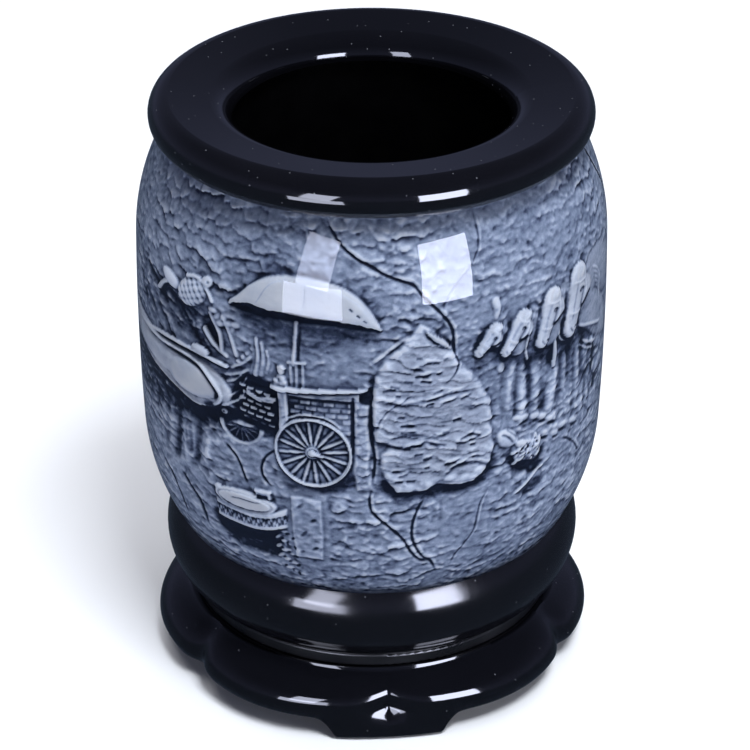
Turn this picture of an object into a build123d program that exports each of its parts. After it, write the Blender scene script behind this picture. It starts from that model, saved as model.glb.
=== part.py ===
"""Revolving brush holder pot: a relief barrel cast in clear resin, on a three-legged turning stand.

Origin on the axis at the floor, +Z up, front towards -Y, millimetres.
"""

from build123d import *
import math
import os

# Overall shape
rim_radius = 46.0
rim_height = 8.3
throat_radius = 28.8
barrel_radius = 49.9
shoulder_radius = 49.5
barrel_end_radius = 43.15
barrel_bottom = 36.0
barrel_height = 87.4
base_ring_radius = 45.5
base_ring_bottom = 18.3
collar_radius = 40.0
lobe_radius = 48.3
leg_radius = 46.4

# Heights that follow from them
barrel_top = barrel_bottom + barrel_height
rim_top = barrel_top + rim_height
quarter = barrel_height / 4

# Rim ring
throat_height = 6.5
mouth_dish = 1.2
mouth_lip = 2.2

# Walls of the cup and of the barrel
resin_thickness = 2.5
liner_radius = 31.0
liner_wall = 2.0
liner_floor = 2.0
sleeve_bore = 34.0

# Base ring
base_floor_top = 27.0
base_foot_radius = 40.4
base_waist = 26.9
race_seat_depth = 1.2

# Stand
turning_gap = 0.4
collar_height = 3.0
collar_bore = 27.5
stand_underside = 5.2
leg_bottom = 0.6
leg_inner_radius = 34.0
leg_half_angle = 15.5
leg_angles = (0, 120, 240)
lobe_waist = 7.0
leg_shoulder = 13.2
leg_fullness = 1.6
cove_flare = 3.4
notch_depth = 1.5
notch_half_angle = 4.0
edge_tuck = 0.8
cove_easing = 0.03
section_levels = (14.2, 13.0, 11.6, 10.2, 8.8, 7.4, 6.2)
section_step = 3
leg_corner = 1.5
collar_edge = 0.6
pad_radius = 4.5
pad_height = 1.4
pad_circle = 40.2

# Ball bearing
ball_radius = 1.5
ball_circle = 21.5
ball_count = 14
groove_clearance = 0.05
race_inner_radius = 10.0
race_outer_radius = 26.0
race_thickness = 1.4
cage_thickness = 1.0
cage_half_width = 3.0
cage_clearance = 0.1
race_screw_circle = 14.0
screw_radius = 1.2
screw_head_radius = 2.3
screw_head_height = 1.1
screw_length = 6.5
screw_slot = 0.6
screw_count = 3
upper_turn = 60

# Pivot
bolt_radius = 3.0
bolt_head_radius = 5.2
bolt_head_height = 2.3
bolt_tip = 25.0
slot_width = 1.2
slot_depth = 1.0
bolt_head_edge = 0.8
bolt_tip_chamfer = 0.5
bush_radius = 5.0
bush_clearance = 0.05
bush_flange_radius = 7.0
bush_flange_height = 1.0
washer_radius = 6.5
washer_thickness = 0.8
washer_gap = 0.3
pocket_radius = 8.0
pocket_top = 10.6
insert_radius = 4.6
insert_top = base_floor_top - 1

# Levels in the bearing
collar_top = base_ring_bottom - turning_gap
stand_top = collar_top - collar_height
race_seat = base_ring_bottom + race_seat_depth
ball_level = (stand_top + race_seat) / 2


def turned(outline):
    """A solid turned about Z from a closed outline of radius against height."""
    return revolve(Plane.XZ * make_face(outline), Axis.Z)


def tube(inner, outer, low, high):
    """A plain ring with square edges."""
    height = high - low
    centre = Pos(0, 0, (low + high) / 2)
    return centre * (Cylinder(outer, height) - Cylinder(inner, height))


def disc(radius, low, high):
    """A plain disc or rod on the axis."""
    return Pos(0, 0, (low + high) / 2) * Cylinder(radius, high - low)


def spread(shape, count, first_angle=0.0):
    """Copies of a shape evenly spaced about the axis."""
    step = 360 / count
    return [Rot(0, 0, first_angle + step * turn) * shape for turn in range(count)]


def barrel_side(inset):
    """Three tangent arcs up the side of the barrel, moved in from its outer surface."""
    end = barrel_end_radius - inset
    shoulder = shoulder_radius - inset
    low_shoulder = (shoulder, barrel_bottom + quarter)
    high_shoulder = (shoulder, barrel_top - quarter)
    belly = (barrel_radius - inset, barrel_bottom + 2 * quarter)
    middle = ThreePointArc(low_shoulder, belly, high_shoulder)
    upper = TangentArc(high_shoulder, (end, barrel_top), tangent=middle % 1)
    lower = TangentArc(low_shoulder, (end, barrel_bottom), tangent=-(middle % 0))
    return [lower, middle, upper]


def make_resin_shell():
    """The clear casting that covers the relief, smooth outside."""
    low = Line((barrel_end_radius - resin_thickness, barrel_bottom), (barrel_end_radius, barrel_bottom))
    high = Line((barrel_end_radius - resin_thickness, barrel_top), (barrel_end_radius, barrel_top))
    return turned(barrel_side(0) + barrel_side(resin_thickness) + [low, high])


def make_relief_sleeve():
    """The cast stone sleeve behind the resin, with a plain bore for the liner."""
    end = barrel_end_radius - resin_thickness
    bore = Line((sleeve_bore, barrel_bottom), (sleeve_bore, barrel_top))
    low = Line((sleeve_bore, barrel_bottom), (end, barrel_bottom))
    high = Line((sleeve_bore, barrel_top), (end, barrel_top))
    return turned(barrel_side(resin_thickness) + [bore, low, high])


def make_rim_ring():
    """The bullnosed top ring, its face dished slightly towards the mouth."""
    nose = rim_height / 2
    inside_top = rim_top - mouth_dish
    rebate_top = rim_top - throat_height
    liner_outer = liner_radius + liner_wall
    outline = [
        Line((liner_outer, barrel_top), (rim_radius - nose, barrel_top)),
        ThreePointArc(
            (rim_radius - nose, barrel_top),
            (rim_radius, barrel_top + nose),
            (rim_radius - nose, rim_top),
        ),
        Line((rim_radius - nose, rim_top), (throat_radius + 2 * mouth_lip, inside_top)),
        TangentArc(
            (throat_radius + 2 * mouth_lip, inside_top),
            (throat_radius, inside_top - 2 * mouth_lip),
            tangent=(-1, -mouth_dish / (rim_radius - nose - throat_radius - 2 * mouth_lip)),
        ),
        Line((throat_radius, inside_top - 2 * mouth_lip), (throat_radius, rebate_top)),
        Line((throat_radius, rebate_top), (liner_outer, rebate_top)),
        Line((liner_outer, rebate_top), (liner_outer, barrel_top)),
    ]
    return turned(outline)


def make_cup_liner():
    """The black cup that holds the brushes, let into the rim ring and the base ring."""
    top = rim_top - throat_height
    outside = disc(liner_radius + liner_wall, base_floor_top, top)
    inside = disc(liner_radius, base_floor_top + liner_floor, top)
    return outside - inside


def make_base_ring():
    """The rounded ring under the barrel, closed by a thick floor."""
    liner_outer = liner_radius + liner_wall
    outline = [
        Line((0, base_ring_bottom), (base_foot_radius, base_ring_bottom)),
        ThreePointArc(
            (base_foot_radius, base_ring_bottom),
            (base_ring_radius, base_waist),
            (barrel_end_radius, barrel_bottom),
        ),
        Line((barrel_end_radius, barrel_bottom), (liner_outer, barrel_bottom)),
        Line((liner_outer, barrel_bottom), (liner_outer, base_floor_top)),
        Line((liner_outer, base_floor_top), (0, base_floor_top)),
        Line((0, base_floor_top), (0, base_ring_bottom)),
    ]
    seat = disc(race_outer_radius, base_ring_bottom, race_seat)
    insert_hole = disc(insert_radius, race_seat, insert_top)
    screw_top = race_seat - race_thickness + screw_length
    screw_hole = Pos(race_screw_circle, 0, 0) * disc(screw_radius, race_seat, screw_top)
    return turned(outline) - seat - insert_hole - spread(screw_hole, screw_count, upper_turn)


def foot_radius(angle, height):
    """Outside radius of the stand: a cove over each leg and a lobe on either side of it."""
    from_leg = abs((angle + 60) % 120 - 60)
    share = (1 - math.cos(math.radians(3 * from_leg))) / 2
    crest = leg_shoulder + (stand_top - leg_shoulder) * share
    swell = (lobe_radius - leg_radius) * math.sin(math.radians(2.4 * from_leg)) ** 2
    notch = notch_depth * math.exp(-(((60 - from_leg) / notch_half_angle) ** 2))
    widest = leg_radius + swell - notch
    cove = collar_radius + cove_flare * ((stand_top - height) / (stand_top - lobe_waist)) ** 2
    drop = (crest - height) / (crest - lobe_waist)
    eased = min((drop + math.sqrt(drop**2 + cove_easing)) / 2, 1)
    tuck = edge_tuck * (max(lobe_waist - height, 0) / (lobe_waist - stand_underside)) ** 2
    fullness = 2 + leg_fullness * (1 - share)
    return cove + (widest - cove) * (1 - (1 - eased) ** fullness) - tuck


def foot_section(height):
    """One level cut through the stand."""
    points = []
    for angle in range(0, 360, section_step):
        radius = foot_radius(angle, height)
        turn = math.radians(angle - 90)
        points.append((radius * math.cos(turn), radius * math.sin(turn)))
    return Pos(0, 0, height) * make_face(Spline(points, periodic=True))


def make_leg():
    """One leg, a block bent to the stand's curve, which runs a little way up into the body."""
    block = tube(leg_inner_radius, leg_radius, leg_bottom, stand_underside + 1)
    wedge = 2 * leg_radius * math.tan(math.radians(leg_half_angle))
    cutter = make_face(Polyline((0, 0), (wedge, -2 * leg_radius), (-wedge, -2 * leg_radius), (0, 0)))
    leg = block & extrude(cutter, amount=2 * stand_underside)
    return fillet(leg.edges().filter_by(Axis.Z), leg_corner)


def make_stand_foot():
    """The lobed foot with three legs, a pocket below and holes for the bush and the screws."""
    levels = (stand_top,) + section_levels + (stand_underside,)
    body = loft([foot_section(level) for level in levels])
    for angle in leg_angles:
        pad_seat = Pos(0, -pad_circle, 0) * disc(pad_radius, leg_bottom, pad_height)
        body += Rot(0, 0, angle) * (make_leg() - pad_seat)
    body -= disc(bush_radius, stand_underside, stand_top)
    body -= disc(pocket_radius, stand_underside, pocket_top)
    screw_end = stand_top + race_thickness - screw_length
    screw_hole = Pos(race_screw_circle, 0, 0) * disc(screw_radius, screw_end, stand_top)
    return body - spread(screw_hole, screw_count)


def make_foot_pads():
    """Felt discs let into the undersides of the legs."""
    pad = Pos(0, -pad_circle, 0) * disc(pad_radius, 0, pad_height)
    return [Rot(0, 0, angle) * pad for angle in leg_angles]


def make_collar():
    """The flat ring on the stand that the pot turns on, its outer edges softened."""
    ring = tube(collar_bore, collar_radius, stand_top, collar_top)
    return fillet(ring.edges().filter_by(GeomType.CIRCLE).sort_by(SortBy.RADIUS)[-2:], collar_edge)


def make_race():
    """The lower race: a steel ring with a ball groove and countersunk holes."""
    ring = tube(race_inner_radius, race_outer_radius, stand_top, stand_top + race_thickness)
    groove = Pos(0, 0, ball_level) * Torus(ball_circle, ball_radius + groove_clearance)
    hole = Pos(race_screw_circle, 0, 0) * screw_at_origin(stand_top + race_thickness)
    return ring - groove - spread(hole, screw_count)


def screw_at_origin(head_top):
    """A countersunk screw pointing down, its head level with the given height."""
    cone = Cone(screw_radius, screw_head_radius, screw_head_height)
    head = Pos(0, 0, head_top - screw_head_height / 2) * cone
    return head + disc(screw_radius, head_top - screw_length, head_top)


def make_race_screws():
    """The screws that hold the lower race, each with a driver slot."""
    top = stand_top + race_thickness
    slot = Pos(0, 0, top) * Box(2 * screw_head_radius, screw_slot, 2 * screw_slot)
    screw = Pos(race_screw_circle, 0, 0) * (screw_at_origin(top) - slot)
    return spread(screw, screw_count)


def flipped(shape, angle=0.0):
    """The same piece on the pot's side of the bearing, upside down."""
    over = Pos(0, 0, ball_level) * Rot(180, 0, angle) * Pos(0, 0, -ball_level)
    return over * shape


def make_balls():
    """The bearing's steel balls."""
    ball = Pos(ball_circle, 0, ball_level) * Sphere(ball_radius)
    return spread(ball, ball_count)


def make_ball_cage():
    """The flat ring that keeps the balls apart."""
    half = cage_thickness / 2
    ring = tube(
        ball_circle - cage_half_width,
        ball_circle + cage_half_width,
        ball_level - half,
        ball_level + half,
    )
    window = Pos(ball_circle, 0, 0) * disc(
        ball_radius + cage_clearance, ball_level - cage_thickness, ball_level + cage_thickness
    )
    return ring - spread(window, ball_count)


def make_pivot_bush():
    """The flanged bush in the stand that the bolt turns in."""
    flange_low = pocket_top - bush_flange_height
    sleeve = disc(bush_radius, pocket_top, stand_top)
    flange = disc(bush_flange_radius, flange_low, pocket_top)
    return sleeve + flange - disc(bolt_radius + bush_clearance, flange_low, stand_top)


def make_pivot_washer():
    """The steel washer under the bush, which turns with the bolt."""
    top = pocket_top - bush_flange_height - washer_gap
    return tube(bolt_radius, washer_radius, top - washer_thickness, top)


def make_pivot_bolt():
    """The bolt up through the stand into the pot, with a slotted round head."""
    head_top = pocket_top - bush_flange_height - washer_gap - washer_thickness
    head_low = head_top - bolt_head_height
    head = disc(bolt_head_radius, head_low, head_top)
    head = fillet(head.edges().sort_by(Axis.Z)[:1], bolt_head_edge)
    slot = Pos(0, 0, head_low) * Box(2 * bolt_head_radius, slot_width, 2 * slot_depth)
    shank = disc(bolt_radius, head_top, bolt_tip)
    shank = chamfer(shank.edges().sort_by(Axis.Z)[-1:], bolt_tip_chamfer)
    return head - slot + shank


def make_pivot_insert():
    """The brass insert in the pot's floor that the bolt screws into."""
    return tube(bolt_radius, insert_radius, race_seat, insert_top)


def write(name, shapes):
    """One STEP file for a node, holding one solid or a group of them."""
    solids = []
    for shape in shapes if isinstance(shapes, list) else [shapes]:
        solids.extend(shape.solids())
    whole = solids[0] if len(solids) == 1 else Compound(children=solids)
    whole.label = name
    export_step(whole, "parts/" + name + ".step")


os.makedirs("parts", exist_ok=True)
race = make_race()
race_screws = make_race_screws()

write("rim_ring", make_rim_ring())
write("cup_liner", make_cup_liner())
write("relief_sleeve", make_relief_sleeve())
write("resin_shell", make_resin_shell())
write("base_ring", make_base_ring())
write("upper_race", flipped(race, upper_turn))
write("upper_race_screws", [flipped(screw, upper_turn) for screw in race_screws])
write("pivot_insert", make_pivot_insert())
write("pivot_bolt", make_pivot_bolt())
write("pivot_washer", make_pivot_washer())
write("bearing_balls", make_balls())
write("ball_cage", make_ball_cage())
write("lower_race", race)
write("lower_race_screws", race_screws)
write("pivot_bush", make_pivot_bush())
write("collar", make_collar())
write("stand_foot", make_stand_foot())
write("foot_pads", make_foot_pads())
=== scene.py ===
import math

import bpy
import numpy as np
from mathutils import Euler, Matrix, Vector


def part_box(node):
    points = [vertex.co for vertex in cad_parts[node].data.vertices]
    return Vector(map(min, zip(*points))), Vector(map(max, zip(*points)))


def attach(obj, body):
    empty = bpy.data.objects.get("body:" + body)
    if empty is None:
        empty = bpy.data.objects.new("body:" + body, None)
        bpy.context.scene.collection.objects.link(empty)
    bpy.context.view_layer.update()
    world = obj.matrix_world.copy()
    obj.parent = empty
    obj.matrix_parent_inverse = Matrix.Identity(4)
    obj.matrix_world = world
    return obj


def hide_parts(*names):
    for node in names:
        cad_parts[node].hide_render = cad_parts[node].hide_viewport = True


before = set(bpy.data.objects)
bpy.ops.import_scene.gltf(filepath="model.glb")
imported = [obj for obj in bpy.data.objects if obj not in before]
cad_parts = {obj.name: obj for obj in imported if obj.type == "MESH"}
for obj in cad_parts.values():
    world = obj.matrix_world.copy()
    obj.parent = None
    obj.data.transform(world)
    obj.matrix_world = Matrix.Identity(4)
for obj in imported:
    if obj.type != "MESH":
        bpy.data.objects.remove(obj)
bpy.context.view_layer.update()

# Sizes below are in mm, heights are above the table, and angles are degrees round the pot from the front.
MM = 0.001
SCENE_TURN = 4.7  # how far round from the front leg the relief scene faces
REPEAT = 178.0  # how far round the scene comes again at the back
ARC = 47.5 * math.pi / 180  # mm along the relief for one degree

# Barrel, as in the CAD
LOW, HIGH = (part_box("resin_shell")[i][2] / MM for i in (0, 1))
BELLY, SHOULDER, END = 49.9, 49.5, 43.15
QUARTER = (HIGH - LOW) / 4
BORE = 34.0

# Relief
COLUMNS, ROWS, PANELS = 1184, 331, 4
DEPTH = 3.0  # mean ground under the polished surface
PEAK = 2.45  # the highest that the relief may rise above the ground
DEEPEST = 1.6  # the deepest that it may sink under the ground
LAP = 360 * ARC
STEP_U = LAP / COLUMNS
STEP_Z = (HIGH - LOW) / (ROWS - 1)
CURVE_STEPS = 5  # points of a smooth curve for each point of an outline
TABLE_ROWS, FIRST_ROW = 400, 20  # rows of random numbers, and the one at the foot of the barrel
NOISE_GAIN = 1.4

# Resin
POLISH = 0.035  # how far its surface lies inside the CAD one, so that facets stay in the CAD box
RESIN_ROOT = 5.2  # how deep it reaches, which is past the relief's hollows
RESIN_GAP = 0.02  # clearance from the rings above and below


def barrel_radius(z):
    """Outside radius at a height: a long arc in the middle and a tighter arc towards each end."""
    sag = BELLY - SHOULDER
    long_radius = (QUARTER**2 + sag**2) / (2 * sag)
    lean = math.asin(QUARTER / long_radius)
    drop = SHOULDER - END
    end_radius = math.hypot(drop, QUARTER) / (2 * math.sin(math.atan2(drop, QUARTER) - lean))
    off = np.abs(z - (LOW + HIGH) / 2)
    middle = BELLY - long_radius + np.sqrt(long_radius**2 - np.minimum(off, QUARTER) ** 2)
    along = np.maximum(off - QUARTER + end_radius * math.sin(lean), 0)
    ends = SHOULDER - end_radius * math.cos(lean) + np.sqrt(np.maximum(end_radius**2 - along**2, 0))
    return np.where(off <= QUARTER, middle, ends)


# ---------------------------------------------------------------- relief canvas

U = (np.arange(COLUMNS) / COLUMNS - 0.5) * LAP
Z = LOW + np.arange(ROWS) * STEP_Z
UU, ZZ = np.meshgrid(U, Z)
H = np.zeros((ROWS, COLUMNS))
CREAM_AND_HIGHLIGHT = np.zeros_like(H)  # cream paint rubbed onto the tops, and on every crest a dry-brushed cream that is also a painted highlight
PAINTED_SHADE = np.zeros_like(H)  # painted shade: a dark wash in hollows and cracks and under overhangs, where shade falls


def smooth(x, low, high):
    """0 below low, 1 above high, and an even ease between."""
    t = np.clip((x - low) / (high - low), 0, 1)
    return t * t * (3 - 2 * t)


turned = {"by": 0.0}  # how far round the pot the next motifs go, from where the front scene has them


def window(points, margin):
    """The cells round some points, as row and column numbers, with their places in mm."""
    us = [p[0] * ARC for p in points]
    zs = [p[1] for p in points]
    middle = (min(us) + max(us)) / 2
    u = (U - turned["by"] * ARC - middle + LAP / 2) % LAP - LAP / 2 + middle
    cols = np.nonzero((u >= min(us) - margin) & (u <= max(us) + margin))[0]
    rows = np.nonzero((Z >= min(zs) - margin) & (Z <= max(zs) + margin))[0]
    return np.ix_(rows, cols), u[cols][None, :], Z[rows][:, None]


def rounded(points, closed=False):
    """A smooth curve through some points."""
    p = np.array(points, float)
    if closed:
        p = np.vstack([p[-1], p, p[:2]])
    else:
        p = np.vstack([2 * p[0] - p[1], p, 2 * p[-1] - p[-2]])
    curve = []
    for a, b, c, d in zip(p[:-3], p[1:-2], p[2:-1], p[3:]):
        for i in range(CURVE_STEPS):
            t = i / CURVE_STEPS
            bend = (2 * a - 5 * b + 4 * c - d) * t + (3 * b - a - 3 * c + d) * t * t
            curve.append(b + 0.5 * t * (c - a + bend))
    if not closed:
        curve.append(p[-2])
    return [tuple(q) for q in curve]


def to_line(u, z, points, closed=False):
    """Distance in mm to a line, how far along it that is from 0 to 1, and which cells it goes round."""
    ends = points[1:] + points[:1] if closed else points[1:]
    near = np.full(np.broadcast_shapes(u.shape, z.shape), 1e9)
    along = np.zeros_like(near)
    inside = np.zeros(near.shape, bool)
    for i, ((a0, z0), (a1, z1)) in enumerate(zip(points, ends)):
        u0, u1 = a0 * ARC, a1 * ARC
        du, dz = u1 - u0, z1 - z0
        t = np.clip(((u - u0) * du + (z - z0) * dz) / max(du * du + dz * dz, 1e-9), 0, 1)
        gap = np.hypot(u - u0 - t * du, z - z0 - t * dz)
        along = np.where(gap < near, (i + t) / len(ends), along)
        near = np.minimum(near, gap)
        if closed and dz:
            crosses = ((z0 > z) != (z1 > z)) & (u < u0 + du * (z - z0) / dz)
            inside ^= crosses
    return near, along, inside


def area(points, margin=2.0, soft=True):
    """The cells round an outline, with the distance inside it in mm, negative outside."""
    if soft:
        points = rounded(points, closed=True)
    ix, u, z = window(points, margin)
    near, _, inside = to_line(u, z, points, closed=True)
    return ix, np.where(inside, near, -near), u, z


def line(points, margin=2.0):
    """The cells along a line, with the distance from it in mm and the share of its length."""
    if len(points) > 2:
        points = rounded(points)
    ix, u, z = window(points, margin)
    near, along, _ = to_line(u, z, points)
    return ix, near, along


def oval(az, z, half_u, half_z, tilt=0.0):
    """The cells round an oval: how far out each is, 1 at its edge, with its own two directions."""
    reach = max(half_u, half_z)
    ix, u, zz = window([(az - reach / ARC, z - reach), (az + reach / ARC, z + reach)], 1.0)
    c, s = math.cos(math.radians(tilt)), math.sin(math.radians(tilt))
    x, y = u - az * ARC, zz - z
    a, b = (c * x + s * y) / half_u, (c * y - s * x) / half_z
    return ix, np.hypot(a, b), a, b


def blend(ix, value, share):
    """Moves heights part of the way to a value."""
    H[ix] += (value - H[ix]) * share


def wash(layer, ix, share):
    """Adds cream paint, or painted shade, to a layer up to a share."""
    layer[ix] = np.maximum(layer[ix], share)


def rise(ix, value):
    """Lifts what lies lower than a value."""
    H[ix] = np.maximum(H[ix], value)


def bar(off, half):
    """A round back across a line: 1 on it, 0 from half its width out."""
    return np.sqrt(np.clip(1 - (off / half) ** 2, 0, 1))


def pillow(points, base, top, roll=1.0, pale=0.0, soft=True):
    """A rounded form with the given outline, its edge rolling over a width of roll mm."""
    ix, d, _, _ = area(points, soft=soft)
    t = np.clip(d / roll, 0, 1)
    value = base + (top - base) * np.sqrt(1 - (1 - t) ** 2)
    rise(ix, np.where(d > 0, value, -9))
    wash(CREAM_AND_HIGHLIGHT, ix, pale * smooth(d, -0.1, 0.4))


def slab(points, top, edge=0.35, pale=0.0):
    """A flat form with the given outline, its edge a steep wall."""
    ix, d, _, _ = area(points, soft=False)
    blend(ix, top, smooth(d, -edge / 2, edge / 2))
    wash(CREAM_AND_HIGHLIGHT, ix, pale * smooth(d, -0.1, 0.3))


def dome(az, z, half_u, half_z, base, top, tilt=0.0, pale=0.0):
    """An oval bump."""
    ix, q, a, b = oval(az, z, half_u, half_z, tilt)
    value = base + (top - base) * np.sqrt(np.clip(1 - q * q, 0, 1))
    rise(ix, np.where(q < 1, value, -9))
    wash(CREAM_AND_HIGHLIGHT, ix, pale * smooth(1 - q, -0.05, 0.25))
    return ix, q, a, b


def pit(az, z, half_u, half_z, depth, tilt=0.0, painted_shade=0.6):
    """An oval hollow with painted shade in it."""
    ix, q, _, _ = oval(az, z, half_u, half_z, tilt)
    share = np.clip(1 - q * q, 0, 1)
    H[ix] -= depth * share
    wash(PAINTED_SHADE, ix, painted_shade * share)
    CREAM_AND_HIGHLIGHT[ix] *= 1 - share


def groove(points, width, depth, painted_shade=0.7, taper=True):
    """A cut line with painted shade in it, fading towards its ends."""
    ix, d, t = line(points)
    fade = smooth(np.minimum(t, 1 - t), -0.02, 0.15) if taper else 1.0
    share = np.exp(-((d / (width / 2)) ** 2)) * fade
    H[ix] -= depth * share
    wash(PAINTED_SHADE, ix, painted_shade * share)
    CREAM_AND_HIGHLIGHT[ix] *= 1 - 0.8 * share


def ridge(points, width, height, pale=0.0):
    """A raised line with a round back, fading towards its ends."""
    ix, d, t = line(points)
    share = bar(d, width / 2) * smooth(np.minimum(t, 1 - t), -0.05, 0.12)
    H[ix] += height * share
    wash(CREAM_AND_HIGHLIGHT, ix, pale * smooth(share, 0.2, 0.8))


def limb(points, width, base, top, pale=0.0, end_width=None):
    """A rounded limb, fold or post, which may narrow towards its end."""
    ix, d, t = line(points, margin=width)
    share = bar(d, (width + ((end_width or width) - width) * t) / 2)
    rise(ix, np.where(share > 0, base + (top - base) * share, -9))
    wash(CREAM_AND_HIGHLIGHT, ix, pale * smooth(share, 0.1, 0.6))


def shade(points, painted_shade, depth=0.0, fade=1.5, soft=True):
    """An area of painted shade, sunk a little where depth is given, soft at its edge."""
    ix, d, _, _ = area(points, margin=fade + 1, soft=soft)
    share = smooth(d, -fade, fade)
    H[ix] -= depth * share
    wash(PAINTED_SHADE, ix, painted_shade * share)
    CREAM_AND_HIGHLIGHT[ix] *= 1 - share


def calm(points, level, keep, fade=1.5):
    """Ground worked smooth: only part of its roughness is left."""
    ix, d, _, _ = area(points, margin=fade + 1)
    blend(ix, level + keep * H[ix], smooth(d, -fade, fade))


def folds(points, lean, cell_u, cell_z, height, painted_shade, seed):
    """Soft hanging folds inside an outline, leaning a little as they go down, with painted shade in their
    hollows.
    """
    ix, d, u, z = area(points, margin=3)
    wave = noise(u - lean * (z - LOW), z + 0 * u, cell_u, cell_z, seed)
    share = smooth(d, -1.5, 1.5)
    H[ix] += height * (wave - 0.3) * share
    wash(PAINTED_SHADE, ix, painted_shade * smooth(-wave, 0, 0.5) * share)


# ---------------------------------------------------------------- noise round the pot


def noise(u, z, cell_u, cell_z, seed):
    """Smooth noise between about -1 and 1 that meets itself round the pot."""
    count = round(LAP / cell_u)
    turn = np.random.default_rng(seed).uniform(0, 2 * math.pi, (TABLE_ROWS, count))
    x, y = u / LAP * count, (z - LOW) / cell_z + FIRST_ROW
    ix, iy = np.floor(x).astype(int), np.floor(y).astype(int)
    fx, fy = x - ix, y - iy
    sx, sy = fx**3 * (fx * (fx * 6 - 15) + 10), fy**3 * (fy * (fy * 6 - 15) + 10)
    total = 0
    for i, wx in ((0, 1 - sx), (1, sx)):
        for j, wy in ((0, 1 - sy), (1, sy)):
            a = turn[(iy + j) % TABLE_ROWS, (ix + i) % count]
            total = total + wx * wy * (np.cos(a) * (fx - i) + np.sin(a) * (fy - j))
    return total * NOISE_GAIN


def scoops(u, z, cell_u, cell_z, seed):
    """Scattered points: distance to the nearest, height above it, and its own number, in cells."""
    count = round(LAP / cell_u)
    rng = np.random.default_rng(seed)
    jitter = rng.uniform(0.1, 0.9, (2, TABLE_ROWS, count))
    number = rng.uniform(0, 1, (TABLE_ROWS, count))
    x, y = u / LAP * count, (z - LOW) / cell_z + FIRST_ROW
    ix, iy = np.floor(x).astype(int), np.floor(y).astype(int)
    near = np.full(x.shape, 9.0)
    above, pick = np.zeros(x.shape), np.zeros(x.shape)
    for i in (-1, 0, 1):
        for j in (-1, 0, 1):
            cx, cy = (ix + i) % count, (iy + j) % TABLE_ROWS
            rise_z = y - iy - j - jitter[1][cy, cx]
            d = np.hypot(x - ix - i - jitter[0][cy, cx], rise_z)
            pick = np.where(d < near, number[cy, cx], pick)
            above = np.where(d < near, rise_z, above)
            near = np.minimum(near, d)
    return near, above, pick


def flakes(u, z, cell_u, cell_z, seed):
    """Overlapping chisel flakes, each sloping out to a proud foot."""
    near, above, pick = scoops(u, z, cell_u, cell_z, seed)
    return 0.4 * (pick - 0.5) - (0.3 + 0.45 * pick) * above - 0.35 * near**2


def wrinkles(u, z, cell_u, cell_z, seed):
    """Sharp wandering crests with broad hollows between them."""
    return 1 - 2.6 * np.abs(leaning(u, z, cell_u, cell_z, 0.4, seed))


def blurred(field, width):
    """The field smoothed over a width in mm, round the pot and up and down."""
    both = np.vstack([field, field[::-1]])
    fz = np.fft.fftfreq(both.shape[0], STEP_Z)[:, None]
    fu = np.fft.rfftfreq(both.shape[1], STEP_U)[None, :]
    soft = np.exp(-2 * (math.pi * width) ** 2 * (fz**2 + fu**2))
    return np.fft.irfft2(np.fft.rfft2(both) * soft, both.shape)[: field.shape[0]]


def leaning(u, z, cell_u, cell_z, lean, seed):
    """Noise whose bumps lean downwards, so each has a broad upper side and a steep lower one."""
    first = noise(u, z, cell_u, cell_z, seed)
    return noise(u, z + lean * cell_z * first, cell_u, cell_z, seed)


def carve_ground():
    """Stone worked with a chisel: slanting flakes, scales on the left, and wave-like steps low down."""
    bend_u = 1.8 * noise(UU, ZZ, 7, 5, 1) + 0.8 * noise(UU, ZZ, 2.2, 1.5, 2)
    bend_z = 1.3 * noise(UU, ZZ, 9, 5, 3) + 0.5 * noise(UU, ZZ, 2.4, 1.5, 4)
    u, z = UU + bend_u + 0.22 * (ZZ - LOW), ZZ + bend_z
    small = leaning(UU - 0.5 * bend_u, ZZ + 0.5 * bend_z, 1.5, 0.85, 0.45, 7)
    rough = 0.62 * flakes(u, z, 4.8, 2.3, 5) + 0.34 * flakes(u + 9, z, 2.5, 1.4, 6)
    rough += 0.22 * wrinkles(u, z, 5.0, 2.2, 8) + 0.08 * wrinkles(u, z, 2.3, 1.2, 14) + 0.1 * small
    rough *= 0.85 + 0.5 * noise(UU, ZZ, 13, 9, 13)

    az = UU / ARC
    scales = flakes(UU + 0.7 * bend_u, ZZ + 0.6 * bend_z, 3.3, 2.3, 9)
    in_scales = smooth(az, -76, -66) * (1 - smooth(az, -30, -22)) * smooth(ZZ, 101, 105)
    rough += (1.0 * scales + 0.1 * small - rough) * in_scales * 0.85

    waves = 0.85 * flakes(UU + 0.8 * bend_u, ZZ + bend_z, 4.2, 2.1, 10)
    waves += 0.26 * wrinkles(UU + bend_u, ZZ + bend_z, 3.6, 1.8, 15) + 0.1 * small
    in_waves = smooth(az, -14, -8) * (1 - smooth(az, 34, 42)) * (1 - smooth(ZZ, 60, 64))
    rough += (waves - rough) * in_waves * 0.85

    swell = 0.3 * noise(UU, ZZ, 22, 14, 11) + 0.18 * noise(UU, ZZ, 9, 7, 12)
    return blurred(rough - rough.mean(), 0.15) + swell


# ---------------------------------------------------------------- the scene on the front


def cracks(paths, width=0.8, depth=0.6, painted_shade=0.9):
    """Cracks with painted shade in them and a faint raised lip above each."""
    for path in paths:
        groove(path, width, depth, painted_shade)
        ridge([(a + 0.5, z + 0.5) for a, z in path], 0.9, 0.14)


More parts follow.
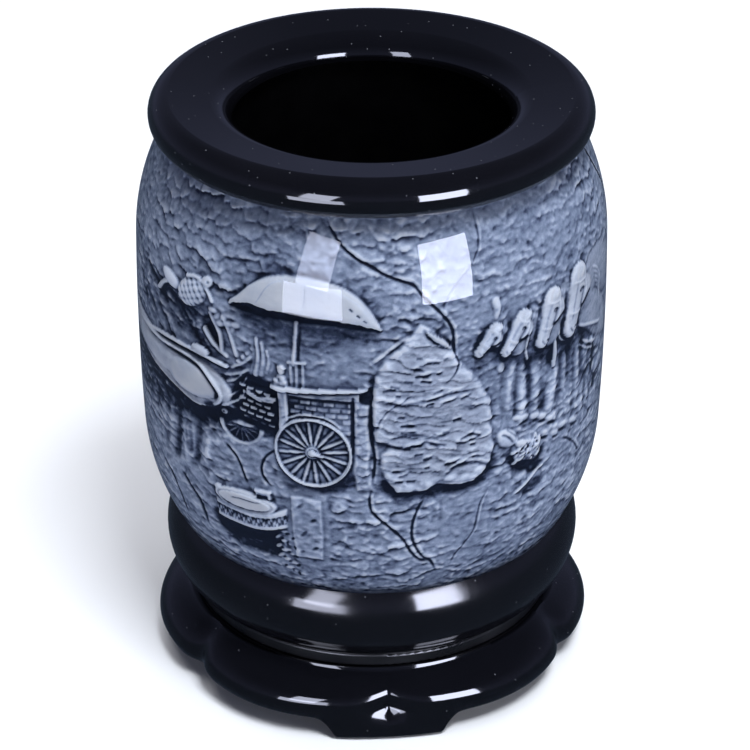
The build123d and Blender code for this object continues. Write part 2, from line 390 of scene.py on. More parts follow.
def carve_parasol():
    """The round parasol, seen from a little above, with its shadow and its pole."""
    under = [(-36, 103.2), (-30, 103.8), (-20, 103.8), (-10, 103.2), (-3, 102.4), (2, 101.4)]
    under += [(-1, 101.4), (-8, 101.9), (-20, 101.8), (-30, 101.7), (-34, 102)]
    calm([(-33, 103), (0, 102), (-1, 96), (-4, 90), (-16, 88.5), (-28, 90), (-31, 97)], -0.3, 0.42, 2.5)
    shade([(-31, 102), (-3, 101), (-5, 97), (-14, 95.5), (-26, 96)], 0.35, 0.1, 2.2)
    shade(under, 0.85, 0.7, 0.9)
    top = [(-36.3, 102.7), (-33, 105.5), (-30, 108), (-25, 110.4), (-18, 111.3), (-12, 111)]
    top += [(-7, 110), (-3, 108), (0, 105.2), (2.5, 101.3), (0, 102), (-5, 102.9), (-10, 103.4)]
    top += [(-15, 103.7), (-20, 103.9), (-25, 103.6), (-30, 104), (-33.5, 103.3)]
    ix, d, u, z = area(top, margin=1.5)
    ragged = d + 0.3 * noise(u + 0 * z, z + 0 * u, 1.0, 0.9, 21) * (1 - smooth(z, 102.5, 105))
    bulge = np.sqrt(np.clip(1 - ((u / ARC + 17) / 20.5) ** 2, 0, 1))
    value = 0.75 + 0.85 * bulge * (1 - 0.35 * smooth(z, 103, 111)) + 0.45 * np.sqrt(smooth(ragged, 0, 1.6))
    blend(ix, value, smooth(ragged, -0.1, 0.25))
    wash(CREAM_AND_HIGHLIGHT, ix, smooth(ragged, -0.05, 0.3))
    PAINTED_SHADE[ix] *= 1 - smooth(ragged, -0.2, 0.2)
    ribs = [[(-34, 104.4), (-28.5, 108.9), (-20, 110.8)], [(-28, 104.8), (-24.5, 109.3), (-19, 110.9)]]
    ribs += [[(-9.5, 110.2), (-3, 107), (1, 103)], [(-16.5, 104.6), (-15.8, 107), (-16, 110.8)]]
    for rib in ribs:
        groove(rib, 0.28, 0.07, 0.16, taper=False)
    for start in (0.0, 1.7, 3.3):
        groove([(-5.2 + start, 106.3 - 0.72 * start), (-4.2 + start, 105.6 - 0.72 * start)], 0.5, 0.25, 0.8)
    limb([(-18.1, 101.6), (-18.5, 97), (-18.9, 92.3)], 1.1, -0.7, 0.2)
    groove([(-17, 101), (-17.5, 97), (-17.8, 92.5)], 0.6, 0.25, 0.5)


def carve_cart():
    """The carriage box: driver, ledge, brick wall, posts and the two wheels."""
    calm([(-23, 87.5), (-1.5, 87.8), (-1.5, 65), (-8, 63.5), (-22, 64)], -0.25, 0.3, 0.8)
    # painted shade under the ledge
    shade([(-20, 86), (-4, 86), (-4, 83.4), (-5, 82), (-20, 82)], 0.3, 0.0, 1.0)
    # seat frame and driver
    for post in ([(-19.7, 92.8), (-19.3, 87)], [(-18.2, 92.6), (-18, 87)], [(-16.6, 93), (-16.4, 87)]):
        limb(post, 0.8, -0.6, 0.05)
    limb([(-20.2, 92.6), (-16, 92.9)], 0.8, -0.5, 0.2)
    pillow([(-24, 87), (-23.4, 88.8), (-22.6, 89.8), (-21.2, 89.7), (-20.4, 88.4), (-20.2, 87)],
            -0.4, 0.6, 0.8, 0.1)
    groove([(-22.6, 89), (-22.2, 87.4)], 0.4, 0.3, 0.5)
    dome(-22, 90.5, 0.8, 0.95, -0.3, 0.95, pale=0.25)
    pit(-22.4, 90.2, 0.17, 0.15, 0.2)
    pit(-21.7, 90.2, 0.17, 0.15, 0.2)
    limb([(-22.8, 91.1), (-22, 91.5), (-21.2, 91.1)], 0.5, 0.2, 0.9)
    limb([(-23.6, 88.2), (-22, 87.7), (-20.8, 88.1)], 0.7, -0.2, 0.75, 0.2)
    # drapery that hangs beside the box
    for a, low, high, wide, top in ((-29.8, 88.8, 95, 1.0, 0.35), (-28.7, 88.4, 96.4, 1.3, 0.7),
            (-27.3, 88.7, 95.6, 1.5, 0.55),
                                    (-25.9, 89.3, 94.2, 1.1, 0.4), (-24.9, 89.4, 92.6, 0.9, 0.2)):
        limb([(a, low), (a + 0.7, (low + high) / 2), (a + 0.1, high)],
                wide * 1.2, -0.6, top - 0.3, 0, wide * 0.6)
    # ledge and beam
    pillow([(-24.8, 86.1), (-22.5, 85.9), (-20, 86.1), (-10, 87), (-0.8, 87.7), (-0.8, 88.3), (-10, 87.8),
            (-20, 87.2), (-23.4, 86.9), (-24.8, 86.9)], 0.9, 1.45, 0.4, 0.35, soft=False)
    slab([(-20.2, 85.2), (-20.2, 86), (-2.8, 86.9), (-2.8, 85.3)], 0.45)
    # brick wall
    rows = ((84.2, 0.0), (82.9, 1.5), (81.6, 0.4), (80.3, 1.8), (79.0, 0.6), (77.8, 1.4))
    for z, first in rows:
        for i in range(7):
            a = -20.2 + first + i * 2.9
            if z < 81 and a < -9:
                continue
            right = min(a + 2.55, -4.9)
            if right - a > 0.6:
                slab([(a, z - 0.5), (a, z + 0.48), (right, z + 0.52), (right, z - 0.46)],
                        0.08 + 0.1 * (i % 2), 0.3)
    # posts
    slab([(-23, 85.8), (-20.4, 86), (-20.2, 79.5), (-21.5, 78), (-22.6, 76.8)], 0.75, 0.4)
    ridge([(-20.6, 85.6), (-20.5, 79.6)], 0.5, 0.2)
    slab([(-4.2, 85.4), (-0.4, 85.6), (-0.9, 80), (-0.2, 75), (-0.8, 70), (0.3, 65), (-3.4, 64.5),
            (-4.4, 69), (-3.8, 75)], 0.4, 0.9)
    # painted shade down the left side of the right post and at its top
    shade([(-4.7, 85), (-4.1, 85), (-4.3, 74), (-4.8, 74)], 0.9, 0.4, 0.4)
    shade([(-0.6, 88.4), (0.2, 88.2), (0.3, 84.9), (-2.6, 85), (-2.6, 87.2)], 0.9, 0.6, 0.4)
    ix, d, u, z = area([(-4, 85), (-0.5, 85), (0, 65), (-3.8, 65)], soft=False)
    H[ix] += 0.5 * flakes(u + 0 * z, z + 0 * u, 2.6, 1.9, 22) * smooth(d, 0, 0.6)
    for z, top in ((82, 0.2), (78.6, -0.15), (73, 0.25), (69.5, -0.2), (66.4, 0.15)):
        groove([(-4.0, z), (-2.4, z - 0.4), (-0.6, z + 0.3)], 0.8, 0.12 + top / 2, 0.15)
    carve_tiles()
    carve_wheel(-14.3, 72.6, 8.05, 16, 0.9)
    half_wheel()


def carve_tiles():
    """Tile courses left of the box and the open book shape on them."""
    # painted shade behind the tile courses
    shade([(-34, 86.5), (-24, 86.5), (-23, 77.5), (-34, 76.5)], 0.75, 0.5, 0.8)
    for k in range(6):
        z = 84.6 - 1.45 * k
        for i in range(5):
            a = -33.4 + 2.25 * i + 0.9 * (k % 2)
            if a < -24.6:
                tip = z - 0.28 * (i - 2)
                slab([(a, tip - 0.38), (a, tip + 0.38), (a + 1.9, tip + 0.22), (a + 1.9, tip - 0.5)],
                        0.35, 0.25)
    slab([(-31.4, 84.6), (-27.6, 83.4), (-27.4, 82.2), (-31, 83.2)], 0.75, 0.3, pale=0.25)
    slab([(-27.4, 83.5), (-23.2, 84.2), (-23, 83.3), (-27.2, 82.2)], 0.75, 0.3, pale=0.25)
    for page in ([(-31.4, 84.7), (-27.5, 83.6), (-23.2, 84.3)], [(-28.6, 84.9), (-25.8, 82.9), (-23, 83.2)]):
        ridge(page, 0.45, 0.45, 0.6)
    dome(-27.4, 82.9, 0.8, 0.6, 0.3, 1.0, pale=0.3)


def carve_wheel(az, z, radius, spokes, top):
    """A spoked wheel seen from the side, with a proud hub."""
    ix, q, a, b = oval(az, z, radius, radius)
    far = q * radius
    turn = np.arctan2(b, a)
    blend(ix, -0.15 + 0.3 * H[ix], smooth(radius - far, -0.2, 0.4) * 0.95)
    # faint painted shade inside the rim
    wash(PAINTED_SHADE, ix, 0.06 * smooth(radius - far, 0, 0.8))
    for k in range(spokes):
        lean = 2 * math.pi * (k + 0.3) / spokes
        ahead = np.cos(turn - lean) > 0
        reach = ahead * smooth(far, 0.8, 1.4) * (1 - smooth(far, radius - 0.9, radius - 0.5))
        across = np.abs(np.sin(turn - lean)) * far
        # painted shade in the hollow beside each spoke
        beside = np.exp(-(((across - 0.5 - 0.02 * far) / 0.22) ** 2)) * reach
        H[ix] -= 0.2 * beside
        wash(PAINTED_SHADE, ix, 0.4 * beside)
        spoke = bar(across, 0.24 + 0.015 * far) * reach
        rise(ix, np.where(spoke > 0, -0.45 + (top - 0.25) * spoke, -9))
        PAINTED_SHADE[ix] *= 1 - 0.8 * spoke
    for ring, width, high, light in ((radius - 0.3, 0.7, top + 0.2, 0.35), (1.2, 0.45, top * 0.5, 0.1)):
        hoop = bar(far - ring, width / 2)
        rise(ix, np.where(hoop > 0, -0.5 + (high + 0.5) * hoop, -9))
        wash(CREAM_AND_HIGHLIGHT, ix, light * hoop)
        PAINTED_SHADE[ix] *= 1 - hoop
    dome(az, z, 0.95, 0.8, 0, top + 0.6, pale=0.5)
    limb([(az, z), (az + 2.6, z - 0.5)], 0.7, 0, top + 0.5, 0.5)
    groove([(az - 8.2, z + 7.0), (az - 3, z + 9.0), (az + 3, z + 8.8)], 0.5, 0.25, 0.5)
    ridge([(az - 6.5, z + 7.2), (az - 2, z + 8.7), (az + 3.6, z + 8.3), (az + 7, z + 6.3)], 0.55, 0.6, 0.4)
    shade([(az - 8, z - 8.6), (az, z - 9.6), (az + 8.5, z - 8.4), (az + 10, z - 5), (az, z - 8.6)],
            0.4, 0.2, 1.0)


def half_wheel():
    """The far wheel, of which the canopy's shadow shows only the lower half."""
    shade([(-44, 77.5), (-36, 78.6), (-25, 78), (-23.4, 76), (-26.5, 74.5), (-33, 76.5), (-42, 73)],
            0.85, 0.6, 1.0)
    ix, q, a, b = oval(-33.3, 75.3, 5.4, 4.6)
    low = smooth(-b, -0.15, 0.1)
    blend(ix, -0.7, smooth(1 - q, 0, 0.1) * low)
    # painted shade in the hollow between the lower spokes
    wash(PAINTED_SHADE, ix, 0.6 * smooth(1 - q, 0, 0.1) * low)
    turn = np.arctan2(b, a)
    for k in range(7):
        lean = -math.pi * (k + 0.6) / 7.4
        off = np.abs(np.sin(turn - lean) * q * 4.9)
        spoke = np.clip(1 - (off / 0.3) ** 2, 0, 1) * (np.cos(turn - lean) > 0) * low * (q < 0.9)
        rise(ix, -0.7 + 0.45 * spoke)
    hoop = bar(q - 0.9, 0.12) * low
    rise(ix, -0.6 + 0.85 * hoop)
    PAINTED_SHADE[ix] *= 1 - 0.6 * hoop
    dome(-38, 77.5, 1.0, 0.9, -0.4, 0.7)
    pit(-38, 77.4, 0.35, 0.3, 0.5)


def carve_canopy():
    """The long pale canopy on the left with its ridges, and the shadow under it."""
    shade([(-84, 79), (-65, 78.2), (-54, 77.6), (-46, 76.8), (-40, 77.5), (-38, 75), (-42, 71), (-50, 71),
           (-60, 69.5), (-72, 68), (-84, 70)], 0.6, 0.6, 2.6)
    body = [(-86, 87.5), (-76, 87), (-66, 86.8), (-56, 87.2), (-48, 87.5), (-41, 86.4), (-37, 84),
            (-35.5, 81.5)]
    body += [(-38, 78.8), (-43, 77), (-48, 76.3), (-53, 77), (-60, 78), (-70, 79), (-80, 80.5), (-88, 83)]
    pillow(body, 0.2, 1.15, 2.5, 0.55)
    ix, q, a, b = oval(-48.5, 82, 8.6, 3.9, 3)
    blend(ix, 1.0 + 1.1 * np.sqrt(np.clip(1 - q * q, 0, 1)), smooth(1.05 - q, 0, 0.15))
    wash(CREAM_AND_HIGHLIGHT, ix, smooth(1 - q, 0, 0.3))
    pillow([(-76, 84.6), (-66, 85), (-57, 84.8), (-52, 83), (-55, 80.3), (-64, 79.8), (-76, 81)],
            1.0, 1.7, 2.0, 0.6)
    rim = [(-74, 85.6), (-66, 85.9), (-60, 86.2), (-52, 86.8), (-46, 86.4), (-42, 84.6), (-38.6, 81.6)]
    ridge(rim + [(-39.4, 79.2), (-42, 77.5)], 0.9, 0.75, 0.5)
    groove([(-60, 85.5), (-52, 86), (-46.3, 85.6), (-42.6, 83.8), (-40, 81.4), (-40.6, 79.4)], 0.8, 0.6, 0.8)
    ridge([(-72, 79.4), (-65, 78.6), (-58, 78), (-53, 77.4), (-47, 76.5), (-43.5, 76.8), (-40, 77.8),
            (-36, 80),
           (-33, 82), (-31.4, 84.6)], 0.7, 0.6, 0.6)
    limb([(-78, 85.2), (-70, 85.8), (-62, 87.4), (-52, 88.4), (-45, 88.6), (-37, 88.2)], 0.9, 0.2, 1.3, 0.3)
    groove([(-62, 86.9), (-52, 87.8), (-45, 88), (-38, 87.4)], 0.5, 0.4, 0.5)
    harness = ([(-36, 88), (-33.5, 89.4), (-31, 91), (-28.6, 93.6)], [(-38, 86), (-34, 87.2), (-30.5, 89)],
               [(-37.5, 84.5), (-34, 86), (-31.5, 88.6)], [(-36, 81.5), (-33, 84), (-31.2, 87.3)],
               [(-35.5, 80), (-32.5, 82), (-30.8, 85.5)])
    for path in harness:
        ridge(path, 0.7, 0.5, 0.1)
    for k in range(9):
        dome(-33.5 + 0.65 * k, 90.2 + 0.6 * k - 0.8 * (k % 2), 0.6, 0.45, 0, 0.6 - 0.3 * (k % 2),
                40 * (k % 3), 0.1)
    dome(-45.5, 89.4, 2.5, 1.05, 0.4, 1.7, pale=0.9)
    # legs of the figures that carry it
    folds([(-66, 72), (-56, 73), (-44, 74), (-42.5, 68), (-46, 62), (-56, 59.5), (-64, 61)],
            0.12, 3.2, 15, 1.0, 0.35, 44)
    shade([(-52, 73), (-50.5, 73), (-50, 64), (-52.6, 64)], 0.5, 0.3, 0.7)
    for a, z, wide in ((-58, 57, 4.6), (-49, 58.5, 3.8), (-63, 51, 4.4), (-52, 50, 4.2), (-69, 60, 4.0),
            (-44, 53, 3.2)):
        pillow([(a - wide, z - 0.5), (a - wide * 0.3, z + 2.1), (a + wide * 0.8, z + 1.2),
                (a + wide, z - 1.3),
                (a, z - 2.4)], -0.7, 0.25, 2.4)
    groove([(-56, 57), (-52, 54.4), (-49, 52), (-48, 49.5), (-47.5, 46)], 1.0, 0.5, 0.6)
    groove([(-66, 56), (-61, 54), (-58, 50), (-57, 45)], 0.8, 0.4, 0.5)


def carve_left_figures():
    """A draped figure bowing under a woven hat, with a bare head beside it."""
    # painted shade round the figures
    shade([(-74, 100.5), (-58, 99.5), (-50, 98), (-41, 99), (-37, 95), (-38, 90.4), (-50, 89.4),
            (-72, 90)], 0.36, 0.3, 2.4)
    folds([(-75, 100), (-62, 99), (-52, 98.5), (-42, 97), (-39, 92), (-50, 90.5), (-64, 91), (-74, 92.5)],
            -0.9, 4.2, 11, 1.3, 0.3, 45)
    for path in ([(-44, 94.5), (-41, 92), (-37, 90.5)], [(-42, 98.6), (-39, 95), (-38.4, 91)],
            [(-38, 99), (-36, 96), (-34, 91.5)]):
        limb(path, 1.3, -0.5, 0.6, 0.15)
    dome(-57, 101.7, 3.2, 1.7, -0.2, 1.1, -14, pale=0.3)
    ix, q, a, b = dome(-48.3, 101.6, 5.0, 3.0, 0.0, 1.4, 32)
    weave = np.abs(np.sin(a * 11)) * 0.6 + np.abs(np.sin(b * 7 + a * 2)) * 0.4
    H[ix] += np.where(q < 0.97, 0.4 * (weave - 0.6), 0)
    # painted shade between the strands of the hat
    wash(PAINTED_SHADE, ix, 0.45 * (1 - smooth(weave, 0.2, 0.6)) * (q < 0.95))
    dome(-43.4, 104.9, 1.7, 1.2, 0.2, 1.1, 35, pale=0.15)
    pit(-42.6, 105.2, 0.45, 0.4, 0.4)
    limb([(-50, 104.5), (-46.5, 105.2), (-43.5, 104.0), (-41.4, 101.6)], 0.9, 0.2, 0.9, 0.1)
    limb([(-63, 97.5), (-60.5, 99.6), (-58.5, 100.6)], 1.0, -0.1, 0.9, 0.2)
    for k in range(7):
        a, z = -41.2 + 1.15 * k, 99.6 - 0.9 * (k % 3) - 0.25 * k
        dome(a, z, 1.3, 0.8, -0.2, 0.6 - 0.15 * (k % 2), 47 * k % 90, 0.1)


def carve_drum():
    """A dish on a drum with a patterned band, and the deep shadow under it."""
    shade([(-43, 52), (-38, 51), (-30, 51.4), (-24.5, 53), (-24, 46), (-27, 44.5), (-36, 45),
            (-42.5, 47.5)], 0.8, 0.7, 1.3)
    calm([(-30, 62), (-22, 72), (-24, 74), (-34, 71), (-41, 67), (-38, 62)], -0.1, 0.45, 1.5)
    middle, wide = -31.5, 10.6
    ix, u, z = window([(middle - wide, 50.4), (middle + wide, 61.5)], 1.0)
    x = (u / ARC - middle) / wide + 0 * z
    lift = 2.6 * np.clip(x, 0, 1) ** 2 + 0.3 * np.clip(-x, 0, 1) ** 2
    level = z - 51.1 - lift
    body = np.sqrt(np.clip(1 - x * x, 0, 1))
    inside = smooth(1 - np.abs(x), 0, 0.03) * smooth(level, -0.25, 0.1) * (1 - smooth(level, 4.2, 4.6))
    blend(ix, 0.25 + 1.0 * body, inside)
    PAINTED_SHADE[ix] *= 1 - inside
    band = inside * smooth(level, 0.7, 0.9) * (1 - smooth(level, 2.9, 3.2))
    marks = np.sin(x * 46) * np.sin(level * 2.6 + 1.3 * np.sin(x * 23))
    H[ix] += band * (0.22 * smooth(marks, -0.2, 0.4) - 0.3)
    # painted shade in the low parts of the patterned band
    wash(PAINTED_SHADE, ix, 0.5 * band * (1 - smooth(marks, -0.3, 0.3)))
    for low, high in ((0.05, 0.3), (3.35, 0.35), (3.95, 0.25)):
        H[ix] += high * np.exp(-(((level - low) / 0.28) ** 2)) * smooth(1 - np.abs(x), 0, 0.05)
    wash(CREAM_AND_HIGHLIGHT, ix, 0.4 * inside * np.exp(-(((level - 0.05) / 0.4) ** 2)))
    for half_u, half_z, top, light in ((7.9, 2.6, 1.35, 0.4), (7.2, 2.1, 1.15, 0.3), (6.6, 1.75, 1.75, 1.0)):
        ix, q, a, b = oval(-32.9, 57.4, half_u, half_z, 2)
        blend(ix, top + 0.12 * b, smooth(1 - q, 0, 0.1))
        wash(CREAM_AND_HIGHLIGHT, ix, light * smooth(1 - q, 0, 0.15))
        PAINTED_SHADE[ix] *= 1 - smooth(1 - q, 0, 0.1)
    groove([(-37, 57.4), (-34, 57.9), (-30, 58.0), (-27.5, 58.4)], 0.45, 0.3, 0.5)
    slab([(-29.4, 58.9), (-29.4, 61), (-25.4, 61.2), (-25.2, 59.4)], 1.2, 0.4)
    slab([(-29.6, 60.7), (-29.6, 61.3), (-25.2, 61.6), (-25.2, 61)], 1.6, 0.3, pale=0.3)
    shade([(-29, 60.2), (-25.8, 60.3), (-25.8, 59.4), (-29, 59.1)], 0.8, 0.2, 0.2, soft=False)
    dome(-41, 58.5, 1.1, 0.7, 0, 1.4, 20, 0.3)


def carve_tablet():
    """The small upright tablet, its face left plain, with rugged stones beside it."""
    calm([(-20.5, 62), (-11.5, 62), (-11, 45), (-20, 45)], 0.1, 0.2, 0.7)
    slab([(-20, 61.4), (-17, 61.8), (-12.4, 61.2), (-12, 52), (-12.6, 46), (-19.6, 46), (-19.8, 53)],
            0.5, 0.5)
    ix, d, u, z = area([(-20, 61.4), (-12.4, 61.2), (-12, 46), (-19.6, 46)], soft=False)
    H[ix] += 0.18 * noise(u + 0 * z, z + 0 * u, 1.7, 1.1, 23) * smooth(d, 0, 0.6)
    for a, z, wide in ((-17.6, 59.4, 1.2), (-14.4, 56.2, 0.9), (-16.9, 52.6, 1.4), (-14.2, 49, 1.0),
            (-17.8, 47.6, 0.8)):
        pit(a, z, wide, 0.5, 0.25, 35 * wide, 0.35)
    for k in range(15):
        a, z = -24.3 + 1.7 * (k % 3) + 0.3 * (k % 2), 53 - 0.85 * k
        dome(a, z, 1.0 + 0.5 * (k % 2), 0.6, -0.8, 0.15 + 0.25 * (k % 3 == 1), 53 * k % 80 - 40)
        pit(a + 0.9, z - 0.6, 0.7, 0.4, 0.35, 20 * k, 0.6)


ROCK = [(11.5, 102.3), (9, 99.6), (5, 96.2), (2, 93.5), (1, 91), (0.2, 87), (0, 83), (0.5, 79), (1, 76.2),
        (3.6, 75),
        (2, 72.8), (2, 70), (3, 67.5), (4.5, 65.5), (6.2, 64), (10, 63.6), (14, 64), (16, 65), (19, 64.2),
        (22, 63.6), (25, 64), (28, 65.4), (30, 68), (31, 71), (30.2, 75), (30, 80), (29.4, 83.4),
        (27.4, 86.6), (25, 89.5), (22.6, 91.6), (20.6, 94.4), (19.4, 96.6), (17, 99), (14, 101.2)]


def inside_rock(az, z):
    """Whether a place is on the rock's face, a little in from its edge."""
    near, _, inside = to_line(np.array([[az * ARC]]), np.array([[z]]), ROCK, closed=True)
    return bool(inside[0, 0]) and near[0, 0] > 1.2


def carve_rock():
    """The large standing rock, dressed with plain chisel marks."""
    # painted shadow under the rock and down its left edge
    shade([(2, 65), (5, 62.8), (12, 62.2), (19, 62.2), (27, 62.8), (31.5, 66), (30, 69), (25, 66),
            (5, 67)], 0.6, 0.35, 1.3)
    shade([(-0.6, 90), (1, 90), (0.6, 84), (0.9, 76), (-0.4, 76), (-0.6, 84)], 0.4, 0.3, 0.6)
    ix, d, u, z = area(ROCK, margin=1.5, soft=False)
    uu, zz = u + 0 * z, z + 0 * u
    edge = d + 0.35 * noise(uu, zz, 1.8, 1.6, 31)
    wavy = zz + 0.9 * noise(uu, zz, 5, 3, 32) + 0.15 * uu
    face = 0.95 + 0.5 * flakes(uu + noise(uu, zz, 3, 2, 37), wavy, 6.5, 1.9, 33)
    face += 0.2 * flakes(uu, wavy, 2.4, 1.1, 38)
    face += 0.14 * wrinkles(uu, wavy, 5.5, 1.5, 39) + 0.22 * noise(uu, zz, 9, 7, 35)
    face -= 0.4 * (1 - smooth(edge, 0.1, 1.7)) ** 2
    blend(ix, face, smooth(edge, -0.2, 0.5))
    wash(CREAM_AND_HIGHLIGHT, ix, 0.22 * smooth(edge, 0.3, 1.5))
    PAINTED_SHADE[ix] *= 1 - smooth(edge, -0.1, 0.2)
    # deeper chisel cuts, in uneven groups that slant one way and the other
    rng = np.random.default_rng(36)
    for _ in range(60):
        a, z = rng.uniform(2, 27), rng.uniform(65.5, 99)
        long, lean = rng.uniform(1.2, 4.5), rng.uniform(-0.25, 0.35)
        stroke = [(a, z), (a + long * 0.4, z + lean * long * 0.3), (a + long, z + lean * long)]
        if inside_rock(a, z) and inside_rock(a + long, z + lean * long):
            ridge(stroke, rng.uniform(0.6, 1.0), rng.uniform(0.1, 0.35))
            groove([(b + 0.1, y - 0.55) for b, y in stroke], 0.7, rng.uniform(0.1, 0.35), 0.3)
    # broad steps across the face
    for path in ([(1.5, 85), (8, 84.7), (14, 85.3), (20, 86), (26, 85.6)],
            [(3, 76.4), (9, 77.6), (15, 76.4), (19, 77)],
                 [(3.2, 75), (8, 74.8), (13, 75.6), (17, 73.5)],
                 [(17, 66), (20, 68.5), (25, 68.8), (29.5, 67)]):
        groove(path, 1.0, 0.22, 0.18)
        ridge([(a + 0.2, z + 0.75) for a, z in path], 1.0, 0.25, 0.1)
    # painted shade under the small raised lip near its top
    shade([(12.3, 100.8), (13.4, 98.8), (15.4, 97.2), (19.4, 95.9), (18.8, 97.4), (17, 98.8), (15, 99.8)],
            0.4, 0.35, 0.6)
    pillow([(13, 100.5), (14.5, 98.6), (17.8, 96.8), (18.4, 97.2), (16, 99)], 0.9, 1.5, 0.6, 0.2)
    ridge([(0, 94), (3, 96), (6, 98), (9.3, 99.7)], 0.9, 0.5, 0.3)
    for a, z in ((19.5, 66.3), (23, 65.8), (26.5, 66.7), (9, 65.2), (13, 65.7)):
        dome(a, z, 1.9, 1.2, 0.2, 1.35, 8, 0.2)


def carve_horse(poll, muzzle, size, pale):
    """A horse's head and neck, facing down to the left."""
    (pa, pz), (ma, mz) = poll, muzzle
    du, dz = (ma - pa) * ARC, mz - pz
    long = math.hypot(du, dz)

    def at(along, right):
        """A place along the face from poll to muzzle, some mm to the right of it."""
        return (pa + (along * du - right * dz / long) / ARC, pz + along * dz + right * du / long)

    def around(*places):
        return [at(along, right * size) for along, right in places]

    groove(around((0.2, -2.2), (0.55, -2.0), (0.95, -1.7)), 1.2, 0.25, 0.4)
    limb(around((0.25, 2.4), (0.02, 5.0), (0.1, 9.0)), 6.6 * size, -0.6, 0.75, pale * 0.2)
    pillow(around((-0.1, -0.6), (0.1, -1.7), (0.3, -1.85), (0.55, -1.45), (0.78, -1.2), (0.95, -1.35),
            (1.07, -0.7),
                  (1.08, 0.5), (0.98, 1.25), (0.8, 1.15), (0.62, 1.7), (0.5, 3.0), (0.28, 3.9),
                  (0.06, 3.2), (-0.08, 1.2)),
           -0.2, 1.5, 1.5 * size, pale * 0.55)
    limb(around((0.02, 0.1), (0.35, 0.1), (0.7, -0.1), (0.96, -0.1)), 3.5 * size, 0.9, 1.7, pale * 0.6,
            2.3 * size)
    dome(*at(0.3, 2.0 * size), 1.7 * size, 1.9, 0.2, 1.6, 10, pale * 0.5)
    dome(*at(0.95, 0), 1.2 * size, 1.0, 0.9, 1.7, 10, pale * 0.7)
    groove(around((0.16, 1.5), (0.4, 1.35), (0.66, 1.0)), 0.7, 0.12, 0.15)
    for k in range(5):
        ridge(around((-0.08 + 0.1 * k, 3.6 + 0.5 * k), (0.02 + 0.1 * k, 5.6 + 0.3 * k),
                (0.3 + 0.08 * k, 7.6)), 0.6, 0.3)
    groove([at(0.93, -0.9), at(1.03, 0.5 * size), at(0.95, 1.5 * size)], 0.45, 0.3, 0.75)
    groove([at(0.62, 1.5 * size), at(0.5, 2.4 * size), at(0.3, 3.6 * size)], 0.9, 0.3, 0.5)
    groove([at(0.1, -0.2), at(0.5, -0.55), at(0.85, -0.3)], 0.7, 0.12, 0.1)
    pit(*at(0.93, 0.75 * size), 0.4 * size, 0.35, 0.45, 20, 0.95)
    pit(*at(0.26, 0.95 * size), 0.65 * size, 0.55, 0.32, 10, 0.6)
    dome(*at(0.27, 0.9 * size), 0.36 * size, 0.35, 1.0, 1.75, 10, pale * 0.5)
    ridge([at(0.18, 0.2), at(0.16, 1.0 * size), at(0.22, 1.7 * size)], 0.5, 0.3, pale)
    limb([at(-0.02, 0.5 * size), at(-0.12, 0.9 * size), at(-0.2, 0.8 * size)], 1.3, 0.6, 1.9, pale, 0.6)
    limb([at(0.02, -0.7), at(-0.1, -0.9), at(-0.16, -0.6)], 1.1, 0.6, 1.7, pale, 0.5)
    noseband, cheek_strap = ((0.66, -1.3), (0.68, 0.2), (0.62, 1.6)), ((0.62, 1.6), (0.3, 2.1), (0.02, 1.5))
    browband = ((0.1, -1.2), (0.1, 0.4), (0.04, 1.6))
    for strap in (noseband, cheek_strap, browband):
        ridge(around(*strap), 0.55, 0.3, pale * 0.4)
    for k in range(6):
        dome(*at(-0.06 - 0.01 * k, 1.6 + 1.0 * k), 1.1, 0.8, 0.2, 1.0 - 0.1 * k, 50, pale * 0.1)


def carve_horses():
    """Four horses over their harness on the right, with their legs in shadow below."""
    calm([(30, 91), (33, 76), (36, 74), (40, 84), (62, 82), (70, 88), (60, 92)], -0.45, 0.45, 2.0)
    # painted shade under the heads and beside the harness
    shade([(31, 92.4), (36, 90.6), (43, 90), (50, 90.2), (60, 88.4), (64, 85), (58, 84), (46, 85.6),
            (36, 88.4)], 0.34, 0.25, 2.2)
    shade([(50, 84.5), (62, 83.5), (72, 80), (74, 75), (64, 75), (55, 79)], 0.35, 0.2, 2.5)
    folds([(34, 87.5), (44, 88), (58, 86), (70, 83), (74, 72), (62, 68), (50, 74), (36, 75.5)],
            0.04, 2.6, 16, 1.1, 0.35, 42)
    limb([(50, 90.5), (50.4, 87), (50, 84.3)], 1.1, -0.4, 0.3, 0.1)
    pillow([(60, 100), (66, 99.5), (73, 94), (80, 87), (81, 80), (72, 82), (66, 86), (61, 89), (60, 94)],
            -0.5, 0.7, 4.0, 0.2)
    carve_horse((30.6, 98.3), (26.2, 93.6), 0.85, 0.3)
    carve_horse((38.8, 98.9), (33.6, 92.2), 1.1, 0.7)
    carve_horse((48.6, 100.2), (45, 91.2), 1.4, 0.95)
    carve_horse((59.6, 101.2), (56, 90.2), 1.8, 1.0)
    for strap in ([(40.6, 95.6), (40, 91), (41, 88)], [(51.5, 91.5), (52.4, 89.4), (55, 88.1), (58.5, 88)],
                  [(60, 89.6), (66, 87.6), (74, 85)], [(63, 85), (67, 83), (74, 81)],
                  [(62, 84.2), (66, 82), (72, 80)]):
        ridge(strap, 0.7, 0.5, 0.3)
    limb([(31.0, 104.0), (31.3, 102.2), (31, 100.8)], 2.1, -0.2, 0.7, 0.1, 1.4)
    limb([(31, 101.5), (31.3, 98.2)], 1.5, -0.4, 0.4, 0.1, 1.0)
    dome(32.6, 88.9, 1.0, 1.3, -0.6, 0.15)
    for a, z, wide in ((39, 75.6, 2.3), (46, 73.6, 2.0), (49, 72.1, 1.8), (54, 68.6, 2.6),
            (59.5, 67.6, 2.2), (43.5, 74.6, 1.5),
                       (51, 68, 1.6), (47, 69.3, 1.5)):
        dome(a, z, wide, 0.95, -0.6, 0.5, -8, 0.2)
        pit(a + 0.5, z - 1.35, wide * 0.8, 0.5, 0.3, -8, 0.4)


